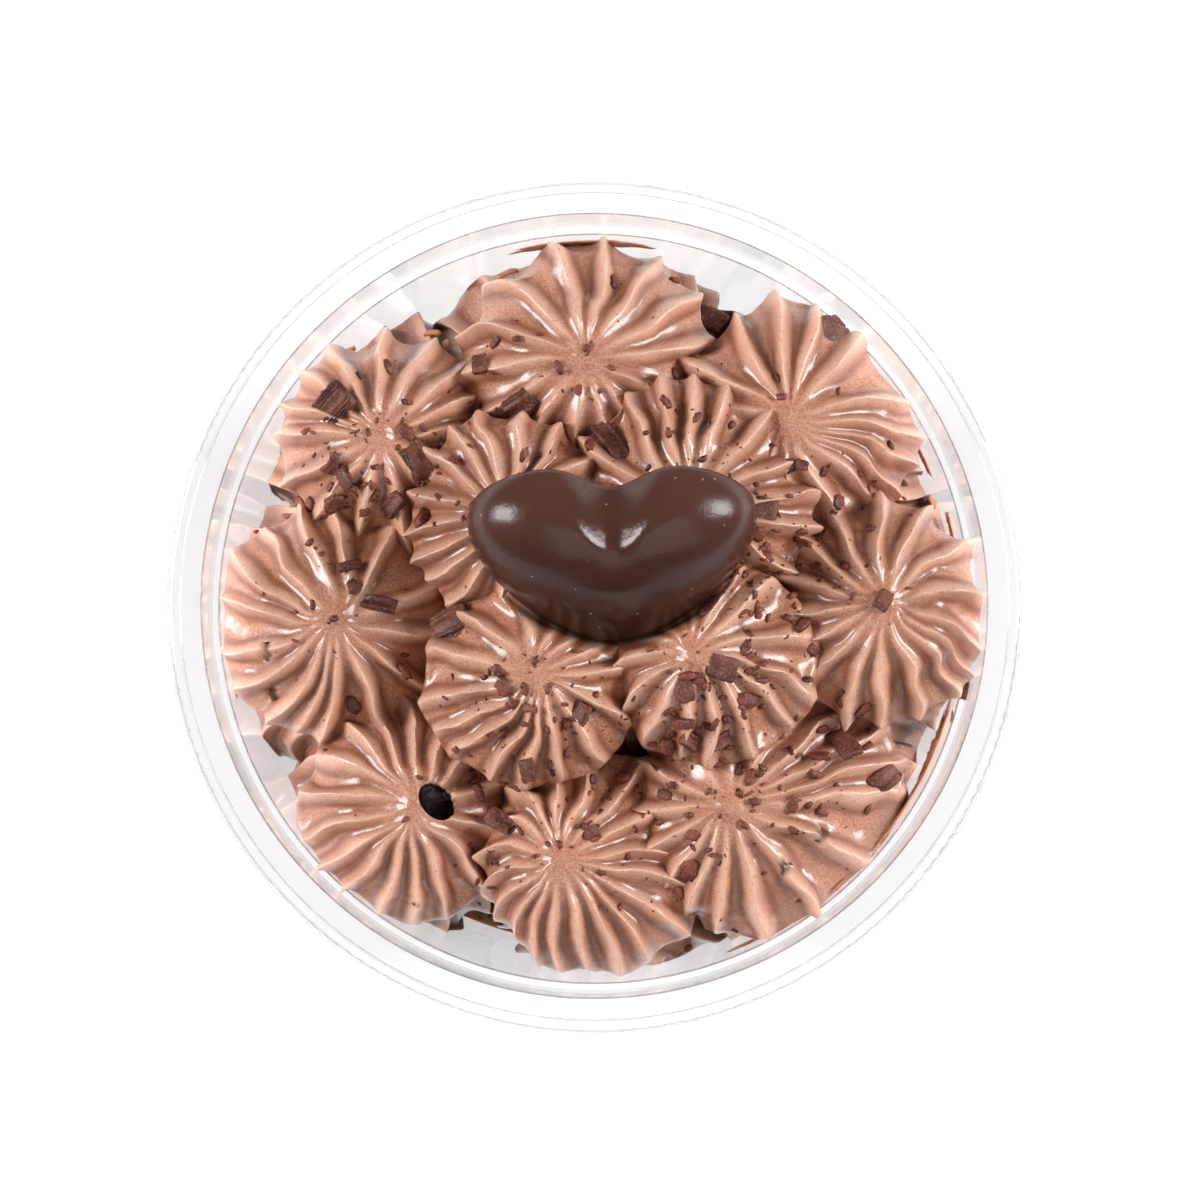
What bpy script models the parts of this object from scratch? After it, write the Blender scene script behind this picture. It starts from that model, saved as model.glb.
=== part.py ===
"""A clear plastic cup of cake under twelve piped rosettes of chocolate cream and a chocolate heart.

Metres, +Z up.  The origin is the middle of the circle that the cup stands on.  Every size below is in
millimetres and is turned into metres where a mesh is made.
"""

import math
from collections import namedtuple

import bpy
import numpy as np

MM = 0.001
GAP = 0.3                       # clear space kept between two pieces that touch, mm

# ---- driving dimensions, mm -----------------------------------------------------------------------------
# the thermoformed cup
CUP_HEIGHT = 61.0
CUP_WALL = 0.6
RIM_RADIUS = 58.5               # outside of the rolled rim
RIM_DROP = 3.6                  # how far the rolled rim hangs down
RIM_ROLL = 1.5                  # radius of the roll at the rim's outer edge
MOUTH_RADIUS = 53.4             # where the flat of the rim begins
LEDGE_HEIGHT = 54.0             # the small step that a lid or a second cup rests on
LEDGE_RADIUS = 51.5             # inside of the wall just under the step
LEDGE_STEP = 0.9
TAPER = 0.232                   # gain of the wall's radius for each mm of height
HEEL_HEIGHT = 3.0               # the wall begins here, above the rounded heel
FOOT_WIDTH = 3.0                # width of the flat ring that the cup stands on
PUSH_UP = 2.2                   # how far the middle of the base is raised
CUP_SEGMENTS = 64

# the cake
CAKE_TOP = 32.0
CAKE_SEGMENTS = 48

# the cream, piped with a star tip
CREAM_BASE = CAKE_TOP + GAP
REST_SLANT = math.radians(15)   # lean of the faces where the inner rosettes rest on the outer ones
REST_REACH = 2.0                # how far an inner rosette spreads over an outer one
GROOVE_DEPTH = 0.23             # depth of a groove, as a fraction of the distance between two ridges
RIDGE_SCATTER = 0.12            # unevenness of the ridges, as a fraction of their spacing
RIDGE_SEED = 40

# the chocolate heart
HEART_WIDTH = 39.0
HEART_TOP = 10.5                # from the widest place up to the tops of the lobes
HEART_POINT = 20.0              # from the widest place down to the point
HEART_PINCH = 0.4               # how far the sides are drawn in at the point
HEART_NOTCH = 4.6
HEART_NOTCH_SPREAD = 5.5
HEART_DOME = 11.5               # thickness in the middle
HEART_CLEFT = 1.0               # depth of the fold that runs down from the notch
HEART_BACK_EDGE = 0.9           # thickness of the plain edge round the back
HEART_CENTRE = (2.4, 11.2, 67.6)
HEART_LEAN = math.radians(42)   # from upright, backwards
HEART_TURN = math.radians(1.5)
HEART_COLUMNS = 32
HEART_ROWS = 7

# Each rosette: the middle of its foot, how far its peak leans, its radius, the heights of its skirt
# and its peak, its number of ridges, the direction of the first one, and whether it lies on the others.
Rosette = namedtuple("Rosette", "name x y lean_x lean_y radius skirt peak ridges first_ridge upper")
ROSETTES = (
    Rosette("rosette_north", -0.8, 35.2, -1.2, -2.2, 17.0, 51.0, 61.0, 15, 17, False),
    Rosette("rosette_north_east", 28.0, 22.9, -2.0, 2.0, 17.8, 51.5, 62.0, 15, 22, False),
    Rosette("rosette_east", 38.6, -0.6, 0.8, 1.2, 15.4, 55.5, 64.0, 15, 10, False),
    Rosette("rosette_south_east", 27.2, -27.0, -5.3, -1.0, 17.6, 52.0, 61.5, 14, 5, False),
    Rosette("rosette_south", 1.6, -35.6, -6.4, 0.8, 15.4, 50.5, 60.5, 15, 0, False),
    Rosette("rosette_south_west", -26.0, -29.6, 1.2, 2.4, 14.8, 50.5, 60.0, 15, 0, False),
    Rosette("rosette_west", -35.3, -2.5, 0.5, 0.6, 16.4, 51.0, 61.0, 15, 0, False),
    Rosette("rosette_north_west", -29.0, 23.0, 0.0, 0.0, 14.8, 51.0, 61.0, 15, 0, False),
    Rosette("rosette_inner_north_east", 13.0, 13.8, 0.0, 0.0, 17.3, 59.0, 66.0, 16, 22, True),
    Rosette("rosette_inner_north_west", -11.3, 11.7, 0.0, 0.0, 14.8, 59.0, 66.0, 16, 0, True),
    Rosette("rosette_inner_south_west", -9.0, -11.0, 0.5, 1.4, 14.8, 60.0, 68.0, 16, 0, True),
    Rosette("rosette_inner_south_east", 18.8, -10.0, -5.4, 3.0, 14.2, 60.0, 68.0, 16, 0, True),
)

# A rosette's side view: distance from its axis as a fraction of the radius, and height as a fraction of
# the whole, where SKIRT_LEVEL is the widest place.  The first squeeze of the bag makes the lower bulge.
SKIRT_LEVEL = 0.57
SIDE_VIEW = (
    (0.80, 0.00),
    (0.93, 0.20),
    (0.88, 0.37),
    (1.00, SKIRT_LEVEL),
    (0.90, 0.75),
    (0.62, 0.88),
    (0.28, 0.96),
)


# ---- materials and meshes -------------------------------------------------------------------------------
def make_material(name, colour, roughness, transmission=0.0):
    """A Principled BSDF with one linear colour."""
    material = bpy.data.materials.new(name)
    material.use_nodes = True
    shader = material.node_tree.nodes["Principled BSDF"]
    shader.inputs["Base Color"].default_value = (*colour, 1.0)
    shader.inputs["Roughness"].default_value = roughness
    shader.inputs["Metallic"].default_value = 0.0
    shader.inputs["Transmission Weight"].default_value = transmission
    return material


def make_object(name, points, faces, material, smooth=True):
    """A mesh object from points in mm; its faces already point outwards."""
    mesh = bpy.data.meshes.new(name)
    mesh.from_pydata([tuple(p) for p in np.asarray(points) * MM], [], faces)
    mesh.update()
    if smooth:
        mesh.shade_smooth()
        mesh.set_sharp_from_angle(angle=math.radians(40))
    mesh.materials.append(material)
    thing = bpy.data.objects.new(name, mesh)
    bpy.context.scene.collection.objects.link(thing)
    return thing


def skin_rings(rings, low_pole, high_pole):
    """Points and faces of a closed skin: rings from low to high, each counter-clockwise, and two poles."""
    rows, columns = rings.shape[0], rings.shape[1]
    points = np.concatenate([rings.reshape(-1, 3), [low_pole], [high_pole]])
    low = rows * columns
    high = low + 1
    faces = []
    for column in range(columns):
        following = (column + 1) % columns
        faces.append((low, following, column))
        for row in range(rows - 1):
            here = row * columns
            above = here + columns
            faces.append((here + column, here + following, above + following, above + column))
        top = (rows - 1) * columns
        faces.append((top + column, top + following, high))
    return points, faces


def arc(centre_r, centre_z, radius, start, end, steps):
    """Points (r, z) along an arc, with its angles in degrees."""
    angles = np.radians(np.linspace(start, end, steps + 1))
    return [(centre_r + radius * math.cos(a), centre_z + radius * math.sin(a)) for a in angles]


def turn_profile(name, profile, segments, material):
    """A solid of revolution; the profile starts and ends on the axis and has the solid on its left."""
    angles = np.arange(segments) * 2 * math.pi / segments
    rings = np.empty((len(profile) - 2, segments, 3))
    for row, (r, z) in enumerate(profile[1:-1]):
        rings[row, :, 0] = r * np.cos(angles)
        rings[row, :, 1] = r * np.sin(angles)
        rings[row, :, 2] = z
    points, faces = skin_rings(rings, (0, 0, profile[0][1]), (0, 0, profile[-1][1]))
    return make_object(name, points, faces, material)


# ---- the cup --------------------------------------------------------------------------------------------
def wall_radius(z):
    """Inside radius of the cup's tapering wall at a height."""
    return LEDGE_RADIUS + TAPER * (z - LEDGE_HEIGHT)


def foot_radii():
    """Outside and inside radius of the flat ring that the cup stands on, inside the rounded heel."""
    foot_out = wall_radius(HEEL_HEIGHT) + CUP_WALL - HEEL_HEIGHT * 0.7
    return foot_out, foot_out - FOOT_WIDTH


def cup_profile():
    """Once round the cut wall: from the middle of the underside out, up, over the rim, and back inside."""
    foot_out, foot_in = foot_radii()
    top = CUP_HEIGHT
    outer_ledge = LEDGE_RADIUS + CUP_WALL
    seat = LEDGE_RADIUS + LEDGE_STEP
    roll_r = RIM_RADIUS - RIM_ROLL
    roll_z = top - RIM_ROLL
    inner_roll = RIM_ROLL - CUP_WALL
    lip_z = top - RIM_DROP
    return (
        [(0, PUSH_UP), (foot_in - PUSH_UP, PUSH_UP), (foot_in, 0), (foot_out, 0)]
        + arc(foot_out, HEEL_HEIGHT * 0.7, HEEL_HEIGHT * 0.7, -60, 0, 2)
        + [(outer_ledge, LEDGE_HEIGHT), (seat + CUP_WALL, LEDGE_HEIGHT + CUP_WALL)]
        + [(MOUTH_RADIUS + CUP_WALL, top - CUP_WALL)]
        + arc(roll_r, roll_z, inner_roll, 90, 0, 3)
        + [(RIM_RADIUS - CUP_WALL, lip_z), (RIM_RADIUS, lip_z)]
        + arc(roll_r, roll_z, RIM_ROLL, 0, 90, 3)
        + [(MOUTH_RADIUS + 0.3, top), (MOUTH_RADIUS, top - 0.3)]
        + [(seat, LEDGE_HEIGHT + CUP_WALL), (LEDGE_RADIUS, LEDGE_HEIGHT)]
        + [(wall_radius(HEEL_HEIGHT), HEEL_HEIGHT), (foot_out - 0.6, CUP_WALL)]
        + [(foot_in + 0.3, CUP_WALL), (foot_in - PUSH_UP + 0.3, PUSH_UP + CUP_WALL)]
        + [(0, PUSH_UP + CUP_WALL)]
    )


def build_cup():
    material = make_material("clear_thermoformed_plastic", (0.92, 0.93, 0.95), 0.05, 1.0)
    return turn_profile("cup", cup_profile(), CUP_SEGMENTS, material)


# ---- the cake -------------------------------------------------------------------------------------------
def build_cake():
    """The sponge that fills the cup up to the cream."""
    base = wall_radius(HEEL_HEIGHT) - GAP - 0.3
    foot_out, foot_in = foot_radii()
    low = CUP_WALL + GAP
    raised = PUSH_UP + CUP_WALL + GAP
    edge = wall_radius(CAKE_TOP) - GAP - 0.3
    profile = [
        (0, raised),
        (foot_in - PUSH_UP + 0.8, raised),
        (foot_in + 0.8, low),
        (foot_out - 1.0, low),
        (base, HEEL_HEIGHT + GAP),
        (edge, CAKE_TOP - 0.8),
        (edge - 0.8, CAKE_TOP),
        (0, CAKE_TOP),
    ]
    material = make_material("moist_sponge_cake", (0.46, 0.22, 0.10), 0.75)
    return turn_profile("cake", profile, CAKE_SEGMENTS, material)


# ---- the piped cream ------------------------------------------------------------------------------------
def foot_of(rosette):
    return np.array((rosette.x, rosette.y))


def axis_at(rosette, level):
    """The middle of a rosette at a fraction of its height; the peak leans, the foot stays."""
    rise = np.clip((level - 0.1) / 0.9, 0, 1)
    eased = rise * rise * (3 - 2 * rise)
    return foot_of(rosette) + eased * np.array((rosette.lean_x, rosette.lean_y))


def height_at(rosette, level):
    """Height in mm of a fraction of the whole; the skirt lies at SKIRT_LEVEL."""
    if level < SKIRT_LEVEL:
        return CREAM_BASE + (rosette.skirt - CREAM_BASE) * level / SKIRT_LEVEL
    return rosette.skirt + (rosette.peak - rosette.skirt) * (level - SKIRT_LEVEL) / (1 - SKIRT_LEVEL)


def dividing_planes(rosette):
    """Planes (normal, offset) between this rosette and each near one; an upper one rests on a lower."""
    planes = []
    for other in ROSETTES:
        step = foot_of(other) - foot_of(rosette)
        distance = np.hypot(*step)
        if other is rosette or distance > rosette.radius + other.radius + GAP:
            continue
        share = 0.5 + (rosette.radius ** 2 - other.radius ** 2) / (2 * distance ** 2)
        over = int(rosette.upper) - int(other.upper)
        heading = step / distance
        slant = -REST_SLANT * over
        normal = np.array((*(heading * math.cos(slant)), math.sin(slant)))
        meeting = foot_of(rosette) + share * step + REST_REACH * over * heading
        through = np.array((*meeting, min(rosette.skirt, other.skirt)))
        planes.append((normal, normal @ through - GAP / 2))
    return planes


def pull_inside(points, axis, planes):
    """Moves points level towards the axis until they lie inside every plane and inside the cup."""
    centre = np.array((*axis, points[0, 2]))
    for normal, offset in planes:
        reach = (points - centre) @ normal
        room = offset - normal @ centre
        share = np.where(reach > room, room / np.maximum(reach, 1e-9), 1.0)
        points = centre + (points - centre) * share[:, None]
    limit = wall_radius(points[0, 2]) - GAP - 0.1
    distance = np.hypot(points[:, 0], points[:, 1])
    points[:, :2] *= np.minimum(1.0, limit / distance)[:, None]
    return points


def build_rosette(rosette, material, random):
    """Rings of ridges and grooves up a bulging side view, narrowing to the peak."""
    count = rosette.ridges
    scatter = random.uniform(-RIDGE_SCATTER, RIDGE_SCATTER, count)
    ridge = math.radians(rosette.first_ridge) + 2 * math.pi * (np.arange(count) + scatter) / count
    groove = (ridge + np.append(ridge[1:], ridge[0] + 2 * math.pi)) / 2
    angles = np.stack([ridge, groove], axis=1).ravel()
    planes = dividing_planes(rosette)
    rings = np.empty((len(SIDE_VIEW), 2 * count, 3))
    for row, (width, level) in enumerate(SIDE_VIEW):
        radius = rosette.radius * width
        groove_depth = GROOVE_DEPTH * 2 * math.pi * radius / count
        reach = radius - groove_depth * np.tile((0.0, 1.0), count)
        axis = axis_at(rosette, level)
        ring = np.empty((2 * count, 3))
        ring[:, 0] = axis[0] + reach * np.cos(angles)
        ring[:, 1] = axis[1] + reach * np.sin(angles)
        ring[:, 2] = height_at(rosette, level)
        rings[row] = pull_inside(ring, axis, planes)
    foot = (*axis_at(rosette, 0), CREAM_BASE)
    peak = (*axis_at(rosette, 1), rosette.peak)
    points, faces = skin_rings(rings, foot, peak)
    return make_object(rosette.name, points, faces, material)


# ---- the heart ------------------------------------------------------------------------------------------
def heart_outline(angles, grow, pinched):
    """A superellipse with a dip at the top; below, an ellipse whose sides are drawn in by a share."""
    cosine = np.cos(angles)
    sine = np.sin(angles)
    upper = sine >= 0
    power = np.where(upper, 2 / 2.4, 1)
    tall = np.where(upper, HEART_TOP, HEART_POINT) + grow
    drawn_in = 1 - HEART_PINCH * np.maximum(-sine, 0) ** 1.5 * pinched
    across = (HEART_WIDTH / 2 + grow) * np.sign(cosine) * np.abs(cosine) ** power * drawn_in
    up = tall * np.sign(sine) * np.abs(sine) ** power
    dip = HEART_NOTCH * np.exp(-((across / HEART_NOTCH_SPREAD) ** 2)) * sine
    return across, up - np.where(upper, dip, 0)


def stand_heart(across, up, out):
    """Places the heart's own directions in the cup: leaning back, its domed face towards -Y."""
    lean_sin, lean_cos = math.sin(HEART_LEAN), math.cos(HEART_LEAN)
    turn_sin, turn_cos = math.sin(HEART_TURN), math.cos(HEART_TURN)
    back = up * lean_sin - out * lean_cos
    rise = up * lean_cos + out * lean_sin
    x = HEART_CENTRE[0] + across * turn_cos - back * turn_sin
    y = HEART_CENTRE[1] + across * turn_sin + back * turn_cos
    return np.stack([x, y, HEART_CENTRE[2] + rise], axis=-1)


def build_heart(name, grow, material):
    """A flat back, a plain edge, and a dome that swells to the middle with a cleft under the notch."""
    angles = np.arange(HEART_COLUMNS) * 2 * math.pi / HEART_COLUMNS
    across, up = heart_outline(angles, grow, 1.0)
    rings = [stand_heart(across, up, np.full(HEART_COLUMNS, -grow))]
    for row in range(HEART_ROWS):
        share = math.cos(math.pi / 2 * row / HEART_ROWS)
        across, up = heart_outline(angles, grow, share ** 3)
        swell = (1 - share ** 2.1) ** (1 / 2.1)
        dome = HEART_BACK_EDGE + (HEART_DOME - HEART_BACK_EDGE + grow) * swell
        near_notch = np.clip((up * share + 4) / HEART_TOP, 0, 1)
        cleft = HEART_CLEFT * np.exp(-((across * share / 4.0) ** 2)) * near_notch * swell
        rings.append(stand_heart(across * share, up * share, dome - cleft))
    back = stand_heart(0.0, 0.0, -grow)
    front = stand_heart(0.0, 0.0, HEART_DOME + grow - HEART_CLEFT * 4 / HEART_TOP)
    points, faces = skin_rings(np.array(rings), back, front)
    return make_object(name, points, faces, material)


def cut_slot(rosette, cutter):
    """Cream pushed aside by the heart: a Boolean difference with a slightly larger heart."""
    cut = rosette.modifiers.new("pushed_aside", "BOOLEAN")
    cut.operation = "DIFFERENCE"
    cut.solver = "EXACT"
    cut.object = cutter


# ---- the whole object -----------------------------------------------------------------------------------
def build():
    for old in list(bpy.data.objects):
        bpy.data.objects.remove(old, do_unlink=True)
    build_cup()
    build_cake()
    cream = make_material("chocolate_cream", (0.45, 0.24, 0.16), 0.45)
    random = np.random.default_rng(RIDGE_SEED)
    chocolate = make_material("dark_chocolate", (0.045, 0.022, 0.018), 0.30)
    build_heart("heart", 0.0, chocolate)
    cutter = build_heart("heart_space", GAP + 0.1, chocolate)
    cutter.hide_render = True
    cutter.display_type = "WIRE"
    for rosette in ROSETTES:
        piped = build_rosette(rosette, cream, random)
        if rosette.upper:
            cut_slot(piped, cutter)


build()
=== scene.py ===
# %% [markdown]
# # A cup of tres leches cake, seen from above
# A clear plastic cup holds milk-soaked sponge. Twelve rosettes of chocolate cream are piped over it with a
# star tip, eight round the wall and four on top of them. A dark chocolate heart leans in the middle, and
# curls, flakes and crumbs shaved from a chocolate block are scattered over everything.
#
# Every shape here is worked out with numpy as a grid of points and then handed to Blender as a mesh.
# The frame gives the room: each new piece stands in the place of a solid of the frame.

# %% Load the frame
import math
from collections import namedtuple

import bpy
import numpy as np
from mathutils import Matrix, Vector
from mathutils.bvhtree import BVHTree


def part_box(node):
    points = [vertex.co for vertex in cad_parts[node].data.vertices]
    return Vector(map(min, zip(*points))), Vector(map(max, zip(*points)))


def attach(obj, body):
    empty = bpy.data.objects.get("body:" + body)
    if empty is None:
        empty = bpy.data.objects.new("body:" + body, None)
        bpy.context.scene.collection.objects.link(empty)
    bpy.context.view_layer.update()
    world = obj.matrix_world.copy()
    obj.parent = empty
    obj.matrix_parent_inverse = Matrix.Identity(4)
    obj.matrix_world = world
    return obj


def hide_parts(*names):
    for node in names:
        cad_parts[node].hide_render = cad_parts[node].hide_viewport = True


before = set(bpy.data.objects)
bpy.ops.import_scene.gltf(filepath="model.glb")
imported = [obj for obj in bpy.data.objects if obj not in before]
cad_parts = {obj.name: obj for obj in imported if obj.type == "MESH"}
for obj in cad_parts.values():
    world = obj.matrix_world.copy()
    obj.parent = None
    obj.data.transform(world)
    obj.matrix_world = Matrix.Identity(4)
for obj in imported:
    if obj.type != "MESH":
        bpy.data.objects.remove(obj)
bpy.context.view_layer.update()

MM = 0.001                      # every size below is in millimetres

# %% [markdown]
# ## Meshes from rings of points
# A piped rosette, a turned cup and a shaved curl have one thing in common: each is a stack of closed rings,
# shut at both ends by one point. Modelling them by hand would need sculpting. A grid of points with one row
# for each ring is quicker, and its shape stays a formula. One helper turns any such grid into a closed mesh
# whose faces look outwards.


# %% A closed skin over rings
def fill_mesh(name, points, polygons):
    """A smooth mesh object from points in mm and a list of arrays of corner numbers, one row a face."""
    mesh = bpy.data.meshes.new(name)
    corners = np.concatenate([faces.ravel() for faces in polygons]).astype(np.int32)
    sizes = np.concatenate([np.full(len(faces), faces.shape[1]) for faces in polygons])
    mesh.vertices.add(len(points))
    mesh.vertices.foreach_set("co", (points * MM).astype(np.float32).ravel())
    mesh.loops.add(len(corners))
    mesh.loops.foreach_set("vertex_index", corners)
    mesh.polygons.add(len(sizes))
    mesh.polygons.foreach_set("loop_start", (np.cumsum(sizes) - sizes).astype(np.int32))
    mesh.update(calc_edges=True)
    mesh.shade_smooth()
    thing = bpy.data.objects.new(name, mesh)
    bpy.context.scene.collection.objects.link(thing)
    return thing


def skin(rings):
    """Points and faces over rings (things, rows, columns, 3), with one pole under and one over each thing.

    The rings of a thing run from its low end to its high end, each counter-clockwise seen from the high
    end. The first and the last ring are closed to their own middles.
    """
    things, rows, columns = rings.shape[:3]
    grid = np.arange(things * rows * columns).reshape(things, rows, columns)
    right = np.roll(grid, -1, axis=2)
    quads = np.stack([grid[:, :-1], right[:, :-1], right[:, 1:], grid[:, 1:]], axis=-1).reshape(-1, 4)
    low = grid.size + np.arange(things)[:, None] * np.ones((1, columns), int)
    high = low + things
    bottoms = np.stack([low, right[:, 0], grid[:, 0]], axis=-1).reshape(-1, 3)
    tops = np.stack([high, grid[:, -1], right[:, -1]], axis=-1).reshape(-1, 3)
    poles = np.concatenate([rings[:, 0].mean(axis=1), rings[:, -1].mean(axis=1)])
    return np.concatenate([rings.reshape(-1, 3), poles]), [quads, bottoms, tops]


def make_piece(name, rings, node, material):
    """A piece over its rings, with its material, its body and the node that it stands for."""
    thing = fill_mesh(name, *skin(rings))
    thing.data.materials.append(material)
    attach(thing, "root")
    if node:
        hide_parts(node)
    size = " x ".join(f"{side / MM:.1f}" for side in np.ptp(np.array(thing.bound_box), axis=0))
    print(f"{name}: {size} mm, {len(thing.data.polygons)} faces")
    return thing


print("a skin over 3 rings of 8 points has", len(skin(np.zeros((1, 3, 8, 3)))[0]), "points")

# %% [markdown]
# ## Smooth unevenness
# Nothing piped or shaved by hand is even. Random numbers at each point would only make it rough, so the
# unevenness here is a sum of sine waves that cross each other in random directions: at any point in space
# it has one value, and neighbouring points have nearly the same.


# %% Lumps
def lumps(points, size, seed):
    """Smooth noise of about -1 to 1: the sum of ten sines whose wavelength is near size, in mm."""
    random = np.random.default_rng(seed)
    waves = random.normal(size=(10, 3))
    waves *= 2 * math.pi / (size * np.linalg.norm(waves, axis=1, keepdims=True))
    waves *= random.uniform(0.7, 1.4, (10, 1))
    return np.sin(points @ waves.T + random.uniform(0, 2 * math.pi, 10)).sum(axis=-1) / math.sqrt(10)


def ease(share):
    """0 up to 0, 1 from 1, and a smooth S between them."""
    share = np.clip(share, 0, 1)
    return share * share * (3 - 2 * share)


line = np.linspace((0, 0, 0), (100, 0, 0), 400)
print(f"lumps of 5 mm along 100 mm: {lumps(line, 5, 1).min():.1f} to {lumps(line, 5, 1).max():.1f}")

# %% [markdown]
# ## Helpers for materials
# A material is a small graph of nodes. Writing each node in one call keeps the graph readable: an input
# that is a node or a socket becomes a link, anything else becomes the input's own value. Colours are
# given as they look on a screen and turned into the linear values that the shader works with. The size of
# a pattern is given in millimetres on the real thing. A pattern of under 0.3 mm wouldn't show at this
# distance, so a finer grain is drawn about that coarse.


# %% Colours and nodes
def linear(colour):
    """A hex colour as linear RGBA: ((c + 0.055) / 1.055) ** 2.4 for each channel, c / 12.92 near black."""
    channels = [int(colour[start:start + 2], 16) / 255 for start in (1, 3, 5)]
    return tuple(c / 12.92 if c <= 0.04045 else ((c + 0.055) / 1.055) ** 2.4 for c in channels) + (1.0,)


def every(size):
    """The scale of a pattern whose features are this many mm apart: one over that length in metres."""
    return 1 / (size * MM)


def connect(node, inputs):
    """Links an input to a socket, or to a node's first output in use; any other value is set on it."""
    for name, value in inputs.items():
        if isinstance(value, bpy.types.Node):
            value = next(socket for socket in value.outputs if socket.enabled)
        if isinstance(value, bpy.types.NodeSocket):
            node.id_data.links.new(value, node.inputs[name])
        else:
            node.inputs[name].default_value = linear(value) if isinstance(value, str) else value


def add_node(tree, kind, inputs=None, **settings):
    """A new node with its settings and its inputs."""
    node = tree.nodes.new("ShaderNode" + kind)
    for name, value in settings.items():
        setattr(node, name, value)
    connect(node, inputs or {})
    return node


def start_material(name, inputs):
    """A material, its node tree, its Principled shader with the given inputs, and Object coordinates."""
    material = bpy.data.materials.new(name)
    material.use_nodes = True
    tree = material.node_tree
    shader = tree.nodes["Principled BSDF"]
    connect(shader, inputs)
    return material, tree, shader, add_node(tree, "TexCoord").outputs["Object"]


print(f"#808080 is half way to white on a screen, and {linear('#808080')[0]:.2f} of white for the shader")

# %% [markdown]
# ## The camera
# The cup was looked at from almost straight above with a long lens, a little from the front. From 650 mm
# away the rim and the cake keep nearly the same scale, so the wall shows only as a narrow band.

# %% Camera
CAMERA_DISTANCE = 650
CAMERA_TILT = math.radians(3.7)     # from straight above, towards the front
CAMERA_TARGET = (0.76, 0.50, 61.0)
FIELD_WIDTH = 163.3                 # what the camera sees at that distance


def make_camera():
    """A camera on the line that leans forward from the target by the tilt."""
    data = bpy.data.cameras.new("camera")
    data.sensor_width = 36
    data.lens = 36 * CAMERA_DISTANCE / FIELD_WIDTH
    camera = bpy.data.objects.new("camera", data)
    away = Vector((0, -math.sin(CAMERA_TILT), math.cos(CAMERA_TILT)))
    camera.location = (Vector(CAMERA_TARGET) + away * CAMERA_DISTANCE) * MM
    camera.rotation_euler = (CAMERA_TILT, 0, 0)
    bpy.context.scene.collection.objects.link(camera)
    bpy.context.scene.camera = camera
    return camera


print(f"camera: {make_camera().data.lens:.1f} mm lens")

# %% [markdown]
# ## The light
# Food is often lit by square softboxes, left and right above the table, on white paper. They give the cream
# its two sides of soft shine and the heart its four pale squares. A larger and weaker one, high up in
# front, opens the shadows under the skirts that face the viewer. The room is a little darker than the
# paper, because clear plastic only shows where it bends the view towards something darker.

# %% Softboxes, room and paper
SOFTBOXES = (
    # name, bearing and height above the table in degrees, side in mm, power in watts
    ("left", 170, 30, 350, 8.4),
    ("right", 13, 30, 350, 8.4),
    ("front", -75, 55, 1000, 3.3),
)
SOFTBOX_AWAY = 900
LIT_HEIGHT = 50                     # the height on the cup's axis that the lamps face
ROOM_GREY = 0.07
PAPER_SIDE = 3000
PAPER_GLOW = 0.26


def add_softbox(name, bearing, height, side, power):
    """A square area lamp above the table in the given direction, facing the middle of the cup."""
    bearing, height = math.radians(bearing), math.radians(height)
    lamp = bpy.data.lights.new("softbox_" + name, "AREA")
    lamp.shape = "SQUARE"
    lamp.size = side * MM
    lamp.energy = power
    softbox = bpy.data.objects.new("softbox_" + name, lamp)
    level = math.cos(height)
    away = Vector((level * math.cos(bearing), level * math.sin(bearing), math.sin(height)))
    softbox.location = (away * SOFTBOX_AWAY + Vector((0, 0, LIT_HEIGHT))) * MM
    softbox.rotation_euler = away.to_track_quat("Z", "Y").to_euler()
    bpy.context.scene.collection.objects.link(softbox)


def make_room():
    """An even grey world, and white paper that glows a little so that it stays white round the cup."""
    world = bpy.data.worlds.new("room")
    world.use_nodes = True
    world.node_tree.nodes["Background"].inputs["Color"].default_value = (ROOM_GREY,) * 3 + (1,)
    bpy.context.scene.world = world
    corners = np.array([(-1, -1, 0), (1, -1, 0), (1, 1, 0), (-1, 1, 0)]) * PAPER_SIDE / 2
    paper = fill_mesh("paper", corners, [np.array([[0, 1, 2, 3]])])
    glow = {"Roughness": 0.9, "Emission Color": (1, 1, 1, 1), "Emission Strength": PAPER_GLOW}
    material, tree, shader, coords = start_material("matt_white_paper", glow)
    fibre = add_node(tree, "TexNoise", {"Vector": coords, "Scale": every(1.11)})
    tone = add_node(tree, "Mix", {0: fibre, 6: "#f6f6f6", 7: "#fafafa"}, data_type="RGBA")
    connect(shader, {"Base Color": tone})
    paper.data.materials.append(material)


for softbox in SOFTBOXES:
    add_softbox(*softbox)
make_room()
bpy.context.scene.view_settings.view_transform = "Standard"
print(f"light: {len(SOFTBOXES)} softboxes, grey room, white paper")

# %% [markdown]
# ## The cup
# The cup is thermoformed: a sheet of clear plastic is softened and sucked into a mould, so the wall is thin
# and even, and every step shows as a ring. Above the tapering wall come a small ledge for a lid, a flared
# mouth and a flat rim that steps down to a rolled edge. Such a body is a profile turned about an axis. The
# profile runs once round the wall: up the outside, under the rim, and back over the rim and down the inside.

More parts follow.
